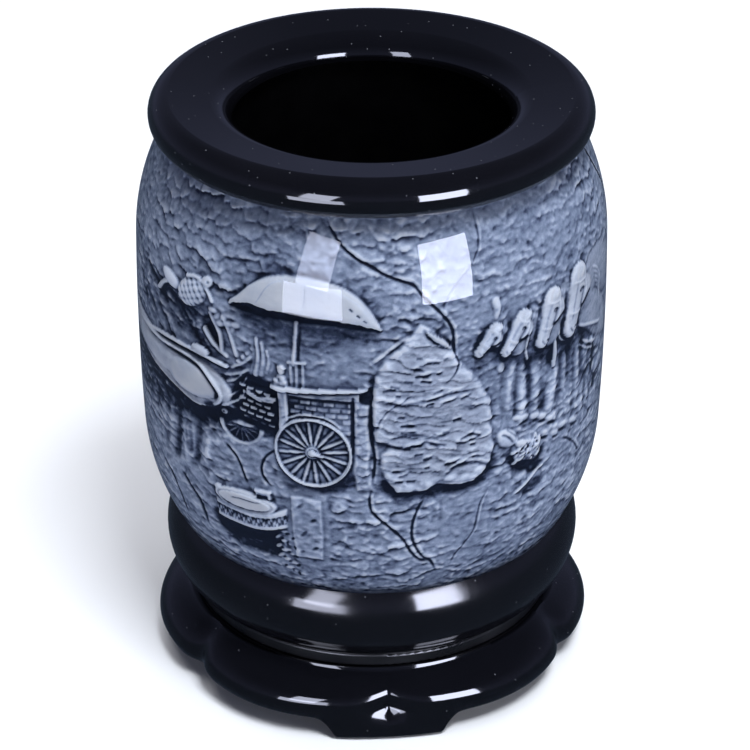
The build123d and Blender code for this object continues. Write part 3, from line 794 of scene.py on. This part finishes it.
def carve_right_figure():
    """A crouching figure in a curled cap, its face turned down, beside a wide bowl."""
    # painted shadow under the cap over the face
    shade([(35, 67), (39, 62.8), (46, 61.5), (47, 66), (44, 65.5), (39, 65.5)], 0.7, 0.4, 1.0)
    pillow([(37.5, 57.3), (40, 58.6), (45, 61), (47.6, 60), (47.5, 57.6), (45, 56.2), (41, 56)],
            -0.5, 0.15, 2.0)
    # painted shade inside the curve of the body
    ix, d, _, _ = area([(39, 57), (46, 60), (47, 57.5), (42, 56)])
    wash(PAINTED_SHADE, ix, 0.7 * smooth(d, -0.5, 1.0))
    ridge([(37.6, 57.4), (41, 58.8), (45, 61), (47, 61.6)], 0.7, 0.7, 0.6)
    pillow([(31.5, 73.6), (34, 74.4), (37, 73), (38, 70.6), (35.4, 69.4), (32.4, 70.6)],
            -0.3, 1.0, 1.6, 0.15)
    groove([(32.6, 73.4), (34.6, 72.4), (36.6, 70.4)], 0.5, 0.3, 0.5)
    groove([(34.2, 74.2), (36, 72.8), (37.6, 71.4)], 0.4, 0.25, 0.4)
    pillow([(36, 69.4), (38.6, 71.2), (42.4, 71), (45.4, 68), (45.6, 65), (43.4, 64), (39, 65),
            (36.6, 66.2)], -0.3, 1.1, 2.6)
    rng = np.random.default_rng(41)
    for k in range(34):
        a, z = 36.8 + rng.uniform(0, 8.0), 65.2 + rng.uniform(0, 4.6)
        dome(a, z, 1.1, 0.42, 0.2, rng.uniform(0.9, 1.7), rng.uniform(20, 70))
        pit(a + 0.5, z - 0.4, 0.45, 0.3, 0.45, 0, 0.75)
    dome(38.8, 69.7, 1.5, 0.9, 0.6, 1.7, -12, 0.3)
    ridge([(36.4, 69.9), (39, 71.4), (42.6, 71), (45.2, 68.4)], 0.8, 0.3, 0.1)
    for k in range(7):
        ridge([(37 + 1.1 * k, 66 + 0.2 * k), (38 + 1.1 * k, 68.4), (37.2 + 1.0 * k, 70.6 - 0.2 * k)],
                0.7, 0.35, 0.1)
    for k, (a, z) in enumerate(((48, 63.5), (51.5, 61), (49, 57), (54, 57.5), (57, 62), (62, 60),
            (66, 66), (69, 55), (60, 52))):
        pillow([(a - 3, z - 0.4), (a - 0.6, z + 1.7), (a + 2.6, z + 0.8), (a + 2.8, z - 1.2),
                (a, z - 1.9)], -0.7, 0.2, 2.0)


def carve_front():
    """The whole front scene, from the left round to the right, and the cracks over it."""
    carve_left_figures()
    carve_canopy()
    carve_parasol()
    carve_cart()
    carve_drum()
    carve_tablet()
    calm([(16, 61), (30, 61), (30, 44), (20, 43)], 0.0, 0.45, 2.5)
    calm([(30, 120), (50, 120), (62, 108), (34, 106)], 0.0, 0.6, 4.0)
    carve_rock()
    carve_horses()
    carve_right_figure()
    cracks([
        [(-13, 123.2), (-10, 119.5), (-7, 117), (-3, 115), (2, 112.8), (5, 111.5), (10, 110), (13, 107),
                (17, 103.5),
         (19.5, 100), (20, 95), (21, 92.5), (19.6, 90), (17, 88)],
        [(0.3, 65), (-0.5, 62.5), (0, 59.5), (2, 57.3), (5, 54.8), (8, 51.8), (10, 48.5), (12, 46.5),
                (15, 45.2)],
        [(13.3, 62.5), (11.5, 59.5), (10.3, 56.5), (10, 53), (11, 50), (13, 47), (15.5, 45.2), (17.5, 41.5)],
        [(-38.5, 69.8), (-35.5, 68), (-34, 66), (-32, 61.6)],
        [(-23.6, 72), (-26.5, 69.5), (-27.8, 66.5), (-27.2, 64.3), (-25, 62.6)],
        [(0.2, 85), (-0.2, 78), (0.8, 72), (0.2, 66)],
    ], 0.5, 0.5, 0.65)
    cracks([
        [(28, 122), (28, 116), (25, 112), (22, 110), (18.5, 107), (17, 104)],
        [(30, 61.5), (28, 58.5), (27, 55), (26.5, 52), (24.5, 49), (22, 46), (21, 43)],
        [(55, 65), (58, 63.3), (61, 61), (63.5, 58)], [(1, 78), (2, 81), (4, 83.5), (7, 85.2), (10, 87)],
    ], 0.4, 0.3, 0.35)


def carve_sides():
    """Heaped boulders between the front scene and its repeat at the back."""
    rng = np.random.default_rng(51)
    for middle in (-94.0, 86.0):
        for _ in range(46):
            a, z = middle + rng.uniform(-13, 13), rng.uniform(38, 84)
            wide = rng.uniform(1.2, 3.6)
            dome(a, z, wide, wide * 0.62, -0.7, rng.uniform(0.0, 0.7), rng.uniform(-30, 30))
            pit(a + 0.4, z - wide * 0.75, wide * 0.8, 0.45, 0.3, rng.uniform(-20, 20), 0.4)
        path = [(middle - 4, 122), (middle - 1, 115), (middle + 3, 109), (middle, 102), (middle + 5, 95),
                (middle + 3, 88)]
        cracks([path])


def weather():
    """Fine tool marks and chips over everything, less on the smooth pale forms."""
    share = 1 - 0.75 * blurred(CREAM_AND_HIGHLIGHT, 0.5)
    chips = np.maximum(noise(UU, ZZ, 1.9, 1.3, 61) - 0.35, 0) * 1.2
    fine = 0.1 * leaning(UU, ZZ, 1.5, 1.0, 0.4, 62) + 0.03 * noise(UU, ZZ, 0.8, 0.7, 63)
    lumps = 0.14 * noise(UU, ZZ, 3.4, 2.2, 64) + 0.06 * wrinkles(UU, ZZ, 3.0, 1.6, 65)
    H[:] += share * (fine + lumps - 0.4 * chips) + 0.04 * noise(UU, ZZ, 3.2, 2.2, 66)
    H[:] = blurred(H, 0.11)


H += carve_ground()
carve_front()
turned["by"] = REPEAT
carve_front()
turned["by"] = 0.0
carve_sides()
weather()


def limit_heights():
    """Keeps the relief inside the resin and flat where the rings grip it."""
    grip = smooth(ZZ, LOW - 0.2, LOW + 0.6) * (1 - smooth(ZZ, HIGH - 0.6, HIGH + 0.2))
    H[:] = np.clip(H * grip, -DEEPEST, PEAK)


limit_heights()


def tone_of_paint():
    """Painted light and shade: tops, crests and upper sides are painted lighter as if lit from above, and
    hollows, overhangs and the foot by the base ring are painted darker as if in shade.
    """
    fine = H - blurred(H, 0.45)
    broad = H - blurred(H, 1.7)
    tall = H - blurred(H, 6.0)
    upward = -np.gradient(blurred(H, 0.2), STEP_Z, axis=0)
    # painted shadow under overhangs: how steeply the relief above rises over each cell
    over = np.zeros_like(H)
    for k in range(1, 15):
        above = np.vstack([H[k:], np.repeat(H[-1:], k, 0)])
        over = np.maximum(over, (above - H - 0.2) / (k * STEP_Z + 0.3))
    # painted highlight on crests and tall forms, painted shade in hollows
    painted_light_shade = 0.52 + 1.1 * fine + np.where(broad > 0, 0.36, 0.22) * broad + 0.07 * tall
    # painted light on the sides that face up, as if lit from above
    painted_light_shade += 0.2 * np.tanh(1.2 * upward)
    # painted shadow under overhangs, and painted shade near the foot where the base ring shades the relief
    painted_light_shade -= 0.3 * np.clip(over, 0, 1.2) + 0.12 * (1 - smooth(ZZ, LOW + 2, LOW + 14))
    # dry-brushed cream on every crest, which also works as a painted highlight
    wash(CREAM_AND_HIGHLIGHT, np.s_[:], 0.75 * smooth(fine, 0.03, 0.22))
    return np.clip(painted_light_shade, 0, 1)


# the relief's painted light and shade
PAINTED_LIGHT_SHADE = tone_of_paint()


# ---------------------------------------------------------------- meshes


def new_object(name, verts, faces):
    """A smooth-shaded mesh object in the scene."""
    mesh = bpy.data.meshes.new(name)
    mesh.from_pydata(verts, [], faces)
    mesh.update()
    mesh.polygons.foreach_set("use_smooth", [True] * len(mesh.polygons))
    thing = bpy.data.objects.new(name, mesh)
    bpy.context.scene.collection.objects.link(thing)
    return thing


def surface_points():
    """Places of the relief's cells in metres, and the direction that each faces."""
    turn = np.radians(UU / ARC - SCENE_TURN)
    radius = barrel_radius(ZZ) - DEPTH + H
    points = np.stack([radius * np.sin(turn), -radius * np.cos(turn), ZZ], -1) * MM
    across = np.roll(points, -1, 1) - np.roll(points, 1, 1)
    up = np.gradient(points, axis=0)
    facing = np.cross(across, up)
    facing /= np.linalg.norm(facing, axis=-1, keepdims=True)
    return points, facing


def relief_panel(number, points, facing):
    """One quarter of the cast relief as a closed piece, with attributes for its painted light and shade and
    its cream paint, and its own flat map.
    """
    wide = COLUMNS // PANELS
    first = number * wide
    cols = np.arange(first, first + wide + 1) % COLUMNS
    outer = points[:, cols].reshape(-1, 3)
    edge = points[0, cols]
    round_bore = edge[:, :2] / np.linalg.norm(edge[:, :2], axis=1, keepdims=True) * BORE * MM
    low = np.column_stack([round_bore, np.full(wide + 1, LOW * MM)])
    high = np.column_stack([round_bore, np.full(wide + 1, HIGH * MM)])
    verts = np.vstack([outer, low, high])
    n = wide + 1
    grid = np.arange(ROWS * n).reshape(ROWS, n)
    a, b, c, d = grid[:-1, :-1], grid[:-1, 1:], grid[1:, 1:], grid[1:, :-1]
    faces = np.stack([a, b, c, d], -1).reshape(-1, 4).tolist()
    lo, hi = ROWS * n, ROWS * n + n
    for i in range(wide):
        faces.append((lo + i, lo + i + 1, grid[0, i + 1], grid[0, i]))
        faces.append((grid[-1, i], grid[-1, i + 1], hi + i + 1, hi + i))
        faces.append((lo + i + 1, lo + i, hi + i, hi + i + 1))
    faces.append([lo] + grid[:, 0].tolist() + [hi])
    faces.append([hi + wide] + grid[::-1, -1].tolist() + [lo + wide])
    panel = new_object("relief_quarter_" + str(number + 1), verts.tolist(), faces)
    mesh = panel.data
    inward = -np.column_stack([round_bore, np.zeros(n)]) / (BORE * MM)
    normals = np.vstack([facing[:, cols].reshape(-1, 3), inward, inward])
    mesh.normals_split_custom_set_from_vertices(normals.tolist())
    # painted light and shade, cream paint with the painted crest highlight, and painted shade, as point
    # attributes
    for name, layer in (("painted_light_shade", PAINTED_LIGHT_SHADE), ("pale", CREAM_AND_HIGHLIGHT), ("painted_shade", PAINTED_SHADE)):
        values = np.concatenate([layer[:, cols].ravel(), np.full(2 * n, 0.3)]).astype(np.float32)
        mesh.attributes.new(name, "FLOAT", "POINT").data.foreach_set("value", values)
    flat = np.zeros((len(verts), 2))
    flat[: ROWS * n, 0] = np.tile(np.arange(n) / wide * 0.94 + 0.005, ROWS)
    flat[: ROWS * n, 1] = np.repeat(np.arange(ROWS) / (ROWS - 1) * 0.99 + 0.005, n)
    flat[ROWS * n : ROWS * n + n] = np.column_stack([np.full(n, 0.965), np.arange(n) / wide * 0.9 + 0.05])
    flat[ROWS * n + n :] = np.column_stack([np.full(n, 0.995), np.arange(n) / wide * 0.9 + 0.05])
    corner = np.zeros(len(mesh.loops), np.int32)
    mesh.loops.foreach_get("vertex_index", corner)
    layer = mesh.uv_layers.new(name="OFBake")
    layer.uv.foreach_set("vector", flat[corner].astype(np.float32).ravel())
    return panel


def turned_body(name, outline_at, segments, crisp):
    """A closed body round the pot's axis, from its section at each angle as radii and heights in mm.

    Edges sharper than crisp degrees stay sharp.
    """
    verts, faces = [], []
    for i in range(segments):
        angle = 360 * i / segments
        turn = math.radians(angle)
        outline = outline_at(angle)
        verts += [(r * MM * math.sin(turn), -r * MM * math.cos(turn), z * MM) for r, z in outline]
    count = len(outline)
    for i in range(segments):
        j = (i + 1) % segments
        for k in range(count):
            m = (k + 1) % count
            faces.append((i * count + m, j * count + m, j * count + k, i * count + k))
    thing = new_object(name, verts, faces)
    bpy.context.view_layer.objects.active = thing
    thing.select_set(True)
    bpy.ops.object.shade_smooth_by_angle(angle=math.radians(crisp))
    thing.select_set(False)
    return thing


def resin_outline():
    """The clear casting's section: polished outside, and filling the relief's hollows inside."""
    low, high = LOW + RESIN_GAP, HIGH - RESIN_GAP
    outside = [(float(barrel_radius(z)) - POLISH, z) for z in np.linspace(high, low, 141)]
    inside = [(float(barrel_radius(z)) - RESIN_ROOT, z) for z in np.linspace(low, high, 40)]
    return outside + inside


# Stand: heights and radii, with its main sizes as in the CAD
STAND_TOP, COLLAR_RADIUS, UNDERSIDE = 14.9, 40.0, 5.2
LOBE, LEG, WAIST, LEG_CREST, FULLNESS = 48.3, 46.4, 7.0, 13.6, 0.5
COVE_FLARE, TUCK = 3.4, 0.8  # how far the cove runs out, and how far the lobes turn in at their foot
NOTCH, NOTCH_HALF = 1.5, 4.0  # the nick between two lobes: its depth, and its half width in degrees
LEG_HALF, LEG_BLEND, LEG_LOW, LEG_INSIDE = 14.3, 7.5, 0.6, 34.0
POCKET, POCKET_TOP, BUSH = 8.0, 10.6, 5.0
CREASE, CREASE_HALF, CREASE_FOOT, CREASE_FADE = 3.0, 10.5, 3.2, 5.0  # the fold down each leg
WALL_ROWS, ROLL = 33, 0.55  # rows down the outside, and the radius of the edge at its foot


def stand_radius(angle, height):
    """Outside radius of the stand: a cove over each leg and a lobe on either side of it."""
    from_leg = abs((angle + 60) % 120 - 60)
    crease = CREASE * max(1 - from_leg / CREASE_HALF, 0) ** 1.5 * smooth(height, CREASE_FOOT,
            CREASE_FOOT + CREASE_FADE)
    height = max(height, UNDERSIDE)
    share = (1 - math.cos(math.radians(3 * from_leg))) / 2
    crest = LEG_CREST + (STAND_TOP - LEG_CREST) * share
    swell = (LOBE - LEG) * math.sin(math.radians(2.4 * from_leg)) ** 2
    widest = LEG + swell - NOTCH * math.exp(-(((60 - from_leg) / NOTCH_HALF) ** 2))
    cove = COLLAR_RADIUS + COVE_FLARE * ((STAND_TOP - height) / (STAND_TOP - WAIST)) ** 2
    drop = (crest - height) / (crest - WAIST)
    eased = min((drop + math.sqrt(drop**2 + 0.03)) / 2, 1)
    tuck = TUCK * (max(WAIST - height, 0) / (WAIST - UNDERSIDE)) ** 2
    if from_leg < LEG_HALF + LEG_BLEND:
        tuck *= smooth(from_leg, LEG_HALF, LEG_HALF + LEG_BLEND)
    fullness = 2 + FULLNESS * (1 - share)
    return cove + (widest - cove) * (1 - (1 - eased) ** fullness) - tuck - crease * eased


def stand_outline(angle):
    """The stand's section at one angle, down its outside and back underneath."""
    from_leg = abs((angle + 60) % 120 - 60)
    beside = min(max((from_leg - LEG_HALF) / LEG_BLEND, 0), 1)
    low = LEG_LOW + (UNDERSIDE - 0.2 - LEG_LOW) * (1 - (1 - beside) ** 2.8)
    points = []
    for i in range(WALL_ROWS + 1):
        z = STAND_TOP + (low + ROLL - STAND_TOP) * (i / WALL_ROWS)
        points.append((stand_radius(angle, z), z))
    edge = points[-1][0]
    for i in range(1, 6):
        t = math.radians(18 * i)
        points.append((edge - ROLL * (1 - math.cos(t)), low + ROLL * (1 - math.sin(t))))
    sole = edge - ROLL
    points += [(sole + (LEG_INSIDE + 0.6 - sole) * i / 6, low) for i in range(1, 7)]
    points += [(LEG_INSIDE + 0.1, low + 0.1), (LEG_INSIDE, low + 0.5), (LEG_INSIDE, UNDERSIDE - 0.05)]
    points += [(LEG_INSIDE - 1, UNDERSIDE), (24, UNDERSIDE), (POCKET + 0.3, UNDERSIDE),
            (POCKET, UNDERSIDE + 0.3)]
    points += [(POCKET, POCKET_TOP), (BUSH, POCKET_TOP), (BUSH, STAND_TOP), (28, STAND_TOP),
            (39.6, STAND_TOP)]
    return points


# ---------------------------------------------------------------- materials


class Nodes:
    """Short words for building a node tree."""

    def __init__(self, name):
        self.material = bpy.data.materials.new(name)
        self.material.use_nodes = True
        self.tree = self.material.node_tree
        self.tree.nodes.clear()
        self.out = self.tree.nodes.new("ShaderNodeOutputMaterial")

    def add(self, kind, settings=None, **inputs):
        node = self.tree.nodes.new("ShaderNode" + kind)
        for key, value in (settings or {}).items():
            setattr(node, key, value)
        for key, value in inputs.items():
            self.plug(node, key.replace("_", " "), value)
        return node

    def plug(self, node, key, value):
        socket = node.inputs[int(key)] if key.isdigit() else node.inputs[key]
        if isinstance(value, bpy.types.NodeSocket):
            self.tree.links.new(value, socket)
        else:
            socket.default_value = value

    def position(self):
        return self.add("TexCoord").outputs["Object"]

    def noise(self, scale, detail=4.0, rough=0.5, vector=None):
        node = self.add("TexNoise", Scale=scale, Detail=detail, Roughness=rough)
        self.plug(node, "Vector", vector or self.position())
        return node.outputs["Fac"]

    def math(self, kind, a, b=0.0, clamp=False):
        node = self.add("Math", {"operation": kind, "use_clamp": clamp})
        self.plug(node, "0", a)
        self.plug(node, "1", b)
        return node.outputs[0]

    def span(self, value, low, high, to_low, to_high):
        node = self.add("MapRange")
        for i, item in enumerate((value, low, high, to_low, to_high)):
            self.plug(node, str(i), item)
        return node.outputs[0]

    def mix(self, share, a, b):
        node = self.add("Mix", {"data_type": "RGBA"})
        self.plug(node, "0", share)
        self.plug(node, "6", a)
        self.plug(node, "7", b)
        return node.outputs[2]

    def ramp(self, value, stops):
        node = self.add("ValToRGB", Fac=value)
        ramp = node.color_ramp
        while len(ramp.elements) < len(stops):
            ramp.elements.new(0.5)
        for element, (place, colour) in zip(ramp.elements, stops):
            element.position = place
            element.color = (*colour, 1)
        return node.outputs["Color"]

    def bump(self, height, strength, distance):
        return self.add("Bump", Height=height, Strength=strength, Distance=distance).outputs["Normal"]

    def finish(self, shader):
        self.tree.links.new(shader, self.out.inputs["Surface"])
        return self.material


def lacquer(name, dust, seed, gloss):
    """Deep black lacquer: a slight orange peel, faint haze and dust specks."""
    n = Nodes(name)
    place = n.add("Mapping", Vector=n.position(), Location=(seed, seed * 0.7, seed * 0.3)).outputs[0]
    haze = n.noise(60, 5, 0.55, place)
    smear = n.noise(22, 3, 0.6, place)
    rough = n.span(haze, 0.35, 0.7, gloss * 0.7, gloss * 1.4)
    speck = n.add("TexVoronoi", {"feature": "F1"}, Vector=place, Scale=640.0, Randomness=1.0)
    chosen = n.math("GREATER_THAN", n.add("SeparateColor", Color=speck.outputs["Color"]).outputs[0],
            1 - dust)
    dot = n.math("MULTIPLY", n.math("LESS_THAN", speck.outputs["Distance"], 0.09), chosen)
    colour = n.mix(n.span(smear, 0.4, 0.75, 0, 0.5), (0.0022, 0.0023, 0.0036, 1), (0.0045, 0.0046, 0.0068,
            1))
    colour = n.mix(dot, colour, (0.09, 0.095, 0.11, 1))
    rough = n.math("ADD", rough, n.math("MULTIPLY", dot, 0.4))
    peel = n.noise(330, 2, 0.4, place)
    wave = n.noise(70, 2, 0.5, place)
    height = n.math("ADD", n.math("MULTIPLY", peel, 0.35), wave)
    height = n.math("ADD", height, n.math("MULTIPLY", dot, 1.5))
    shader = n.add("BsdfPrincipled", Base_Color=colour, Roughness=rough, IOR=1.68,
            Normal=n.bump(height, 0.35, 0.00003))
    return n.finish(shader.outputs[0])


def painted_stone():
    """Cast stone in blue-grey, darkened by painted shade in the hollows and under overhangs, lightened by
    painted light on tops and upper sides, with cream rubbed on the tops.
    """
    n = Nodes("painted_relief")
    layers = ("painted_light_shade", "pale", "painted_shade")
    painted_light_shade, pale, painted_shade = (n.add("Attribute", {"attribute_name": a}).outputs["Fac"] for a in layers)
    grain = n.noise(2600, 4, 0.7)
    patch = n.noise(130, 5, 0.6)
    cloud = n.noise(38, 3, 0.5)
    # the painted light and shade, plus random grain, patches and clouds of tone
    value = n.math("ADD", painted_light_shade, n.span(grain, 0.2, 0.8, -0.08, 0.08))
    value = n.math("ADD", value, n.span(patch, 0.3, 0.7, -0.09, 0.09))
    value = n.math("ADD", value, n.span(cloud, 0.3, 0.7, -0.06, 0.06))
    # the painted shade darkens it further
    value = n.math("SUBTRACT", value, n.math("MULTIPLY", painted_shade, 0.62), clamp=True)
    base = n.ramp(value, ((0.0, (0.007, 0.010, 0.021)), (0.2, (0.035, 0.046, 0.085)),
            (0.42, (0.118, 0.146, 0.218)),
                          (0.62, (0.215, 0.255, 0.35)), (0.82, (0.37, 0.42, 0.53)),
                          (1.0, (0.54, 0.585, 0.69))))
    cream = n.mix(n.span(patch, 0.3, 0.75, 0, 1), (0.33, 0.365, 0.44, 1), (0.46, 0.47, 0.5, 1))
    # the cream and the painted crest highlight show less where the painted shade is deep
    share = n.math("MULTIPLY", pale, n.span(value, 0.18, 0.5, 0, 0.92), clamp=True)
    colour = n.mix(share, base, cream)
    rough = n.span(grain, 0.3, 0.7, 0.62, 0.8)
    height = n.math("ADD", n.math("MULTIPLY", n.noise(1500, 3, 0.6), 0.6), grain)
    shader = n.add("BsdfPrincipled", Base_Color=colour, Roughness=rough, IOR=1.5,
            Normal=n.bump(height, 0.5, 0.00006))
    shader.inputs["Specular IOR Level"].default_value = 0.0
    return n.finish(shader.outputs[0])


def clear_resin():
    """Polished casting resin, faintly uneven, that lets the lamps through to the relief."""
    n = Nodes("clear_resin")
    wave = n.noise(40, 2, 0.4)
    rough = n.span(n.noise(90, 3, 0.5), 0.4, 0.7, 0.0, 0.02)
    shader = n.add("BsdfPrincipled", Base_Color=(0.97, 0.985, 1.0, 1), Roughness=rough, IOR=1.5,
                   Normal=n.bump(wave, 0.12, 0.0001))
    shader.inputs["Transmission Weight"].default_value = 1.0
    open_air = n.add("BsdfTransparent", Color=(0.97, 0.98, 1.0, 1))
    mixer = n.add("MixShader")
    path = n.add("LightPath")
    through = n.math("MAXIMUM", path.outputs["Is Shadow Ray"], path.outputs["Is Diffuse Ray"])
    n.plug(mixer, "0", through)
    n.plug(mixer, "1", shader.outputs[0])
    n.plug(mixer, "2", open_air.outputs[0])
    return n.finish(mixer.outputs[0])


def plain_finish(name, colour, darker, metal, rough, scale, bump, shine=0.5):
    """A worked surface with uneven colour and roughness."""
    n = Nodes(name)
    mottle = n.noise(scale, 5, 0.6)
    fine = n.noise(scale * 7, 3, 0.6)
    tint = n.mix(n.span(mottle, 0.3, 0.7, 0, 1), (*darker, 1), (*colour, 1))
    sheen = n.span(fine, 0.3, 0.7, rough * 0.8, rough * 1.25)
    shader = n.add("BsdfPrincipled", Base_Color=tint, Roughness=sheen, Metallic=metal,
            Normal=n.bump(fine, 0.4, bump))
    shader.inputs["Specular IOR Level"].default_value = shine
    return n.finish(shader.outputs[0])


def felt():
    """Pressed pale felt, fibres lying every way."""
    n = Nodes("pad_felt")
    fibre = n.noise(2400, 6, 0.75)
    clump = n.noise(500, 3, 0.6)
    tint = n.mix(fibre, (0.42, 0.43, 0.46, 1), (0.78, 0.79, 0.82, 1))
    height = n.math("ADD", fibre, clump)
    shader = n.add("BsdfPrincipled", Base_Color=tint, Roughness=0.95, Normal=n.bump(height, 0.8, 0.00015))
    return n.finish(shader.outputs[0])


def paint(thing, material):
    """Gives a piece its one material."""
    thing.data.materials.clear()
    thing.data.materials.append(material)


def paint_node(name, material):
    """Gives a carried-over CAD node its material in every slot."""
    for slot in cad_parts[name].material_slots:
        slot.material = material


# ---------------------------------------------------------------- build the pieces

cells, facing = surface_points()
stone = painted_stone()
for number in range(PANELS):
    panel = relief_panel(number, cells, facing)
    paint(panel, stone)
    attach(panel, "pot")
    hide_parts("relief_sleeve")

resin_section = resin_outline()
resin = turned_body("resin_casting", lambda angle: resin_section, 300, 40)
paint(resin, clear_resin())
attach(resin, "pot")
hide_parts("resin_shell")

stand = turned_body("stand_body", stand_outline, 540, 50)
paint(stand, lacquer("stand_lacquer", 0.12, 3, 0.07))
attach(stand, "stand")
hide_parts("stand_foot")

paint_node("rim_ring", lacquer("rim_lacquer", 0.3, 1, 0.06))
paint_node("base_ring", lacquer("base_lacquer", 0.15, 2, 0.13))
paint_node("collar", lacquer("collar_lacquer", 0.03, 4, 0.32))
# name, nodes, colour, darker colour, metal, roughness, noise scale, bump in metres, and specular level
FINISHES = (
    ("liner_black", ["cup_liner"], (0.0016, 0.0016, 0.002), (0.0008, 0.0008, 0.001), 0, 0.35, 160,
            0.00001, 0.06),
    ("bearing_steel", ["upper_race", "lower_race"], (0.58, 0.59, 0.61), (0.45, 0.46, 0.48), 1, 0.3, 300,
            0.00002),
    ("zinc_plate", ["upper_race_screws", "lower_race_screws", "pivot_bolt", "pivot_washer"],
     (0.66, 0.66, 0.68), (0.52, 0.53, 0.56), 1, 0.36, 420, 0.00002),
    ("ball_steel", ["bearing_balls"], (0.75, 0.76, 0.78), (0.7, 0.71, 0.73), 1, 0.1, 300, 0.000005),
    ("insert_brass", ["pivot_insert"], (0.75, 0.57, 0.25), (0.6, 0.43, 0.16), 1, 0.3, 300, 0.00002),
    ("natural_nylon", ["ball_cage", "pivot_bush"], (0.82, 0.81, 0.77), (0.74, 0.73, 0.68), 0, 0.5, 240,
            0.00003),
)
for name, nodes, *look in FINISHES:
    finish = plain_finish(name, *look)
    for node in nodes:
        paint_node(node, finish)
paint_node("foot_pads", felt())


# ---------------------------------------------------------------- floor, light and camera


def make_floor():
    """A pale table top that sweeps up far behind."""
    half, flat, sweep, steps = 6.0, 1.4, 1.6, 24
    profile = [(-half, 0.0), (-2, 0), (-0.5, 0), (0, 0), (0.5, 0), (flat, 0)]
    for i in range(1, steps + 1):
        turn = math.radians(90 * i / steps)
        profile.append((flat + sweep * math.sin(turn), sweep - sweep * math.cos(turn)))
    profile.append((flat + sweep, 5.0))
    verts = [(x, y, z) for y, z in profile for x in (-half, half)]
    faces = [(2 * i, 2 * i + 1, 2 * i + 3, 2 * i + 2) for i in range(len(profile) - 1)]
    floor = new_object("floor", verts, faces)
    n = Nodes("pale_floor")
    cloud = n.noise(3, 2, 0.5)
    tint = n.mix(cloud, (0.83, 0.84, 0.87, 1), (0.86, 0.87, 0.9, 1))
    paint(floor, n.finish(n.add("BsdfPrincipled", Base_Color=tint, Roughness=0.8).outputs[0]))
    floor.visible_glossy = False


def lamp(name, azimuth, distance, height, wide, tall, strength, aim,
         glossy=True, diffuse=True, roll=0.0, tint=(1, 1, 1)):
    """A soft rectangular lamp that faces a height on the pot's axis. Sizes in mm, strength as radiance."""
    turn = math.radians(azimuth)
    data = bpy.data.lights.new(name, "AREA")
    data.shape = "RECTANGLE"
    data.size, data.size_y = wide * MM, tall * MM
    data.energy = strength * math.pi * data.size * data.size_y
    data.color = tint
    thing = bpy.data.objects.new(name, data)
    thing.location = (distance * MM * math.sin(turn), -distance * MM * math.cos(turn), height * MM)
    towards = math.atan2(distance, height - aim)
    thing.rotation_mode = "QUATERNION"
    facing = Euler((towards, 0, turn)).to_quaternion()
    thing.rotation_quaternion = facing @ Euler((0, 0, math.radians(roll))).to_quaternion()
    thing.visible_camera = False
    thing.visible_glossy = glossy
    thing.visible_transmission = False
    thing.visible_diffuse = diffuse
    bpy.context.scene.collection.objects.link(thing)


def make_world():
    """A dim bluish room, lightest along the horizon."""
    world = bpy.data.worlds.new("studio")
    world.use_nodes = True
    tree = world.node_tree
    back = tree.nodes["Background"]
    coord = tree.nodes.new("ShaderNodeTexCoord")
    split = tree.nodes.new("ShaderNodeSeparateXYZ")
    tree.links.new(coord.outputs["Generated"], split.inputs[0])
    height = tree.nodes.new("ShaderNodeMapRange")
    height.inputs["From Min"].default_value = -1.0
    tree.links.new(split.outputs["Z"], height.inputs["Value"])
    ramp = tree.nodes.new("ShaderNodeValToRGB")
    ramp.color_ramp.elements.new(0.56)
    stops = ((0.44, (0.045, 0.06, 0.09)), (0.56, (0.1, 0.112, 0.19)), (0.84, (0.03, 0.034, 0.055)))
    for element, (place, colour) in zip(ramp.color_ramp.elements, stops):
        element.position = place
        element.color = (*colour, 1)
    tree.links.new(height.outputs["Result"], ramp.inputs[0])
    tree.links.new(ramp.outputs[0], back.inputs["Color"])
    bpy.context.scene.world = world


def make_camera():
    """A long lens that looks down at the pot from the front, facing the relief scene."""
    data = bpy.data.cameras.new("camera")
    data.sensor_width = 36
    data.lens = 129.6
    data.clip_start, data.clip_end = 0.01, 50
    camera = bpy.data.objects.new("camera", data)
    turn = math.radians(-SCENE_TURN)
    far, side, height, down = 507.8, 0.7, 358.5, 30.14
    camera.location = (
        (far * math.sin(turn) + side * math.cos(turn)) * MM,
        (-far * math.cos(turn) + side * math.sin(turn)) * MM,
        height * MM,
    )
    camera.rotation_euler = (math.radians(90 - down), 0, turn)
    bpy.context.scene.collection.objects.link(camera)
    bpy.context.scene.camera = camera


make_floor()
make_world()
make_camera()
# boxes that only show as reflections, at either side of the camera
cool = (0.76, 0.8, 1.0)
lamp("box_right", -SCENE_TURN + 33.6, 500, 146, 206, 262, 17, 112, diffuse=False, tint=cool)
lamp("box_left", -SCENE_TURN - 25.6, 350, 52, 162, 96, 7.3, 100, diffuse=False, tint=cool)
lamp("box_left_upper", -SCENE_TURN - 24.5, 520, 200, 140, 235, 8, 110, diffuse=False, roll=-9, tint=cool)
# soft light that shapes the relief
lamp("key", 22, 560, 1150, 380, 330, 38.5, 80, glossy=False, tint=(0.92, 0.96, 1.0))
lamp("fill_right", 55, 900, 420, 420, 400, 3.2, 80, glossy=False)
lamp("fill_front", -10, 1000, 330, 500, 400, 1.3, 80, glossy=False)
lamp("top", 180, 300, 1500, 1600, 1600, 2.7, 0, glossy=False)
bpy.context.scene.view_settings.view_transform = "Standard"
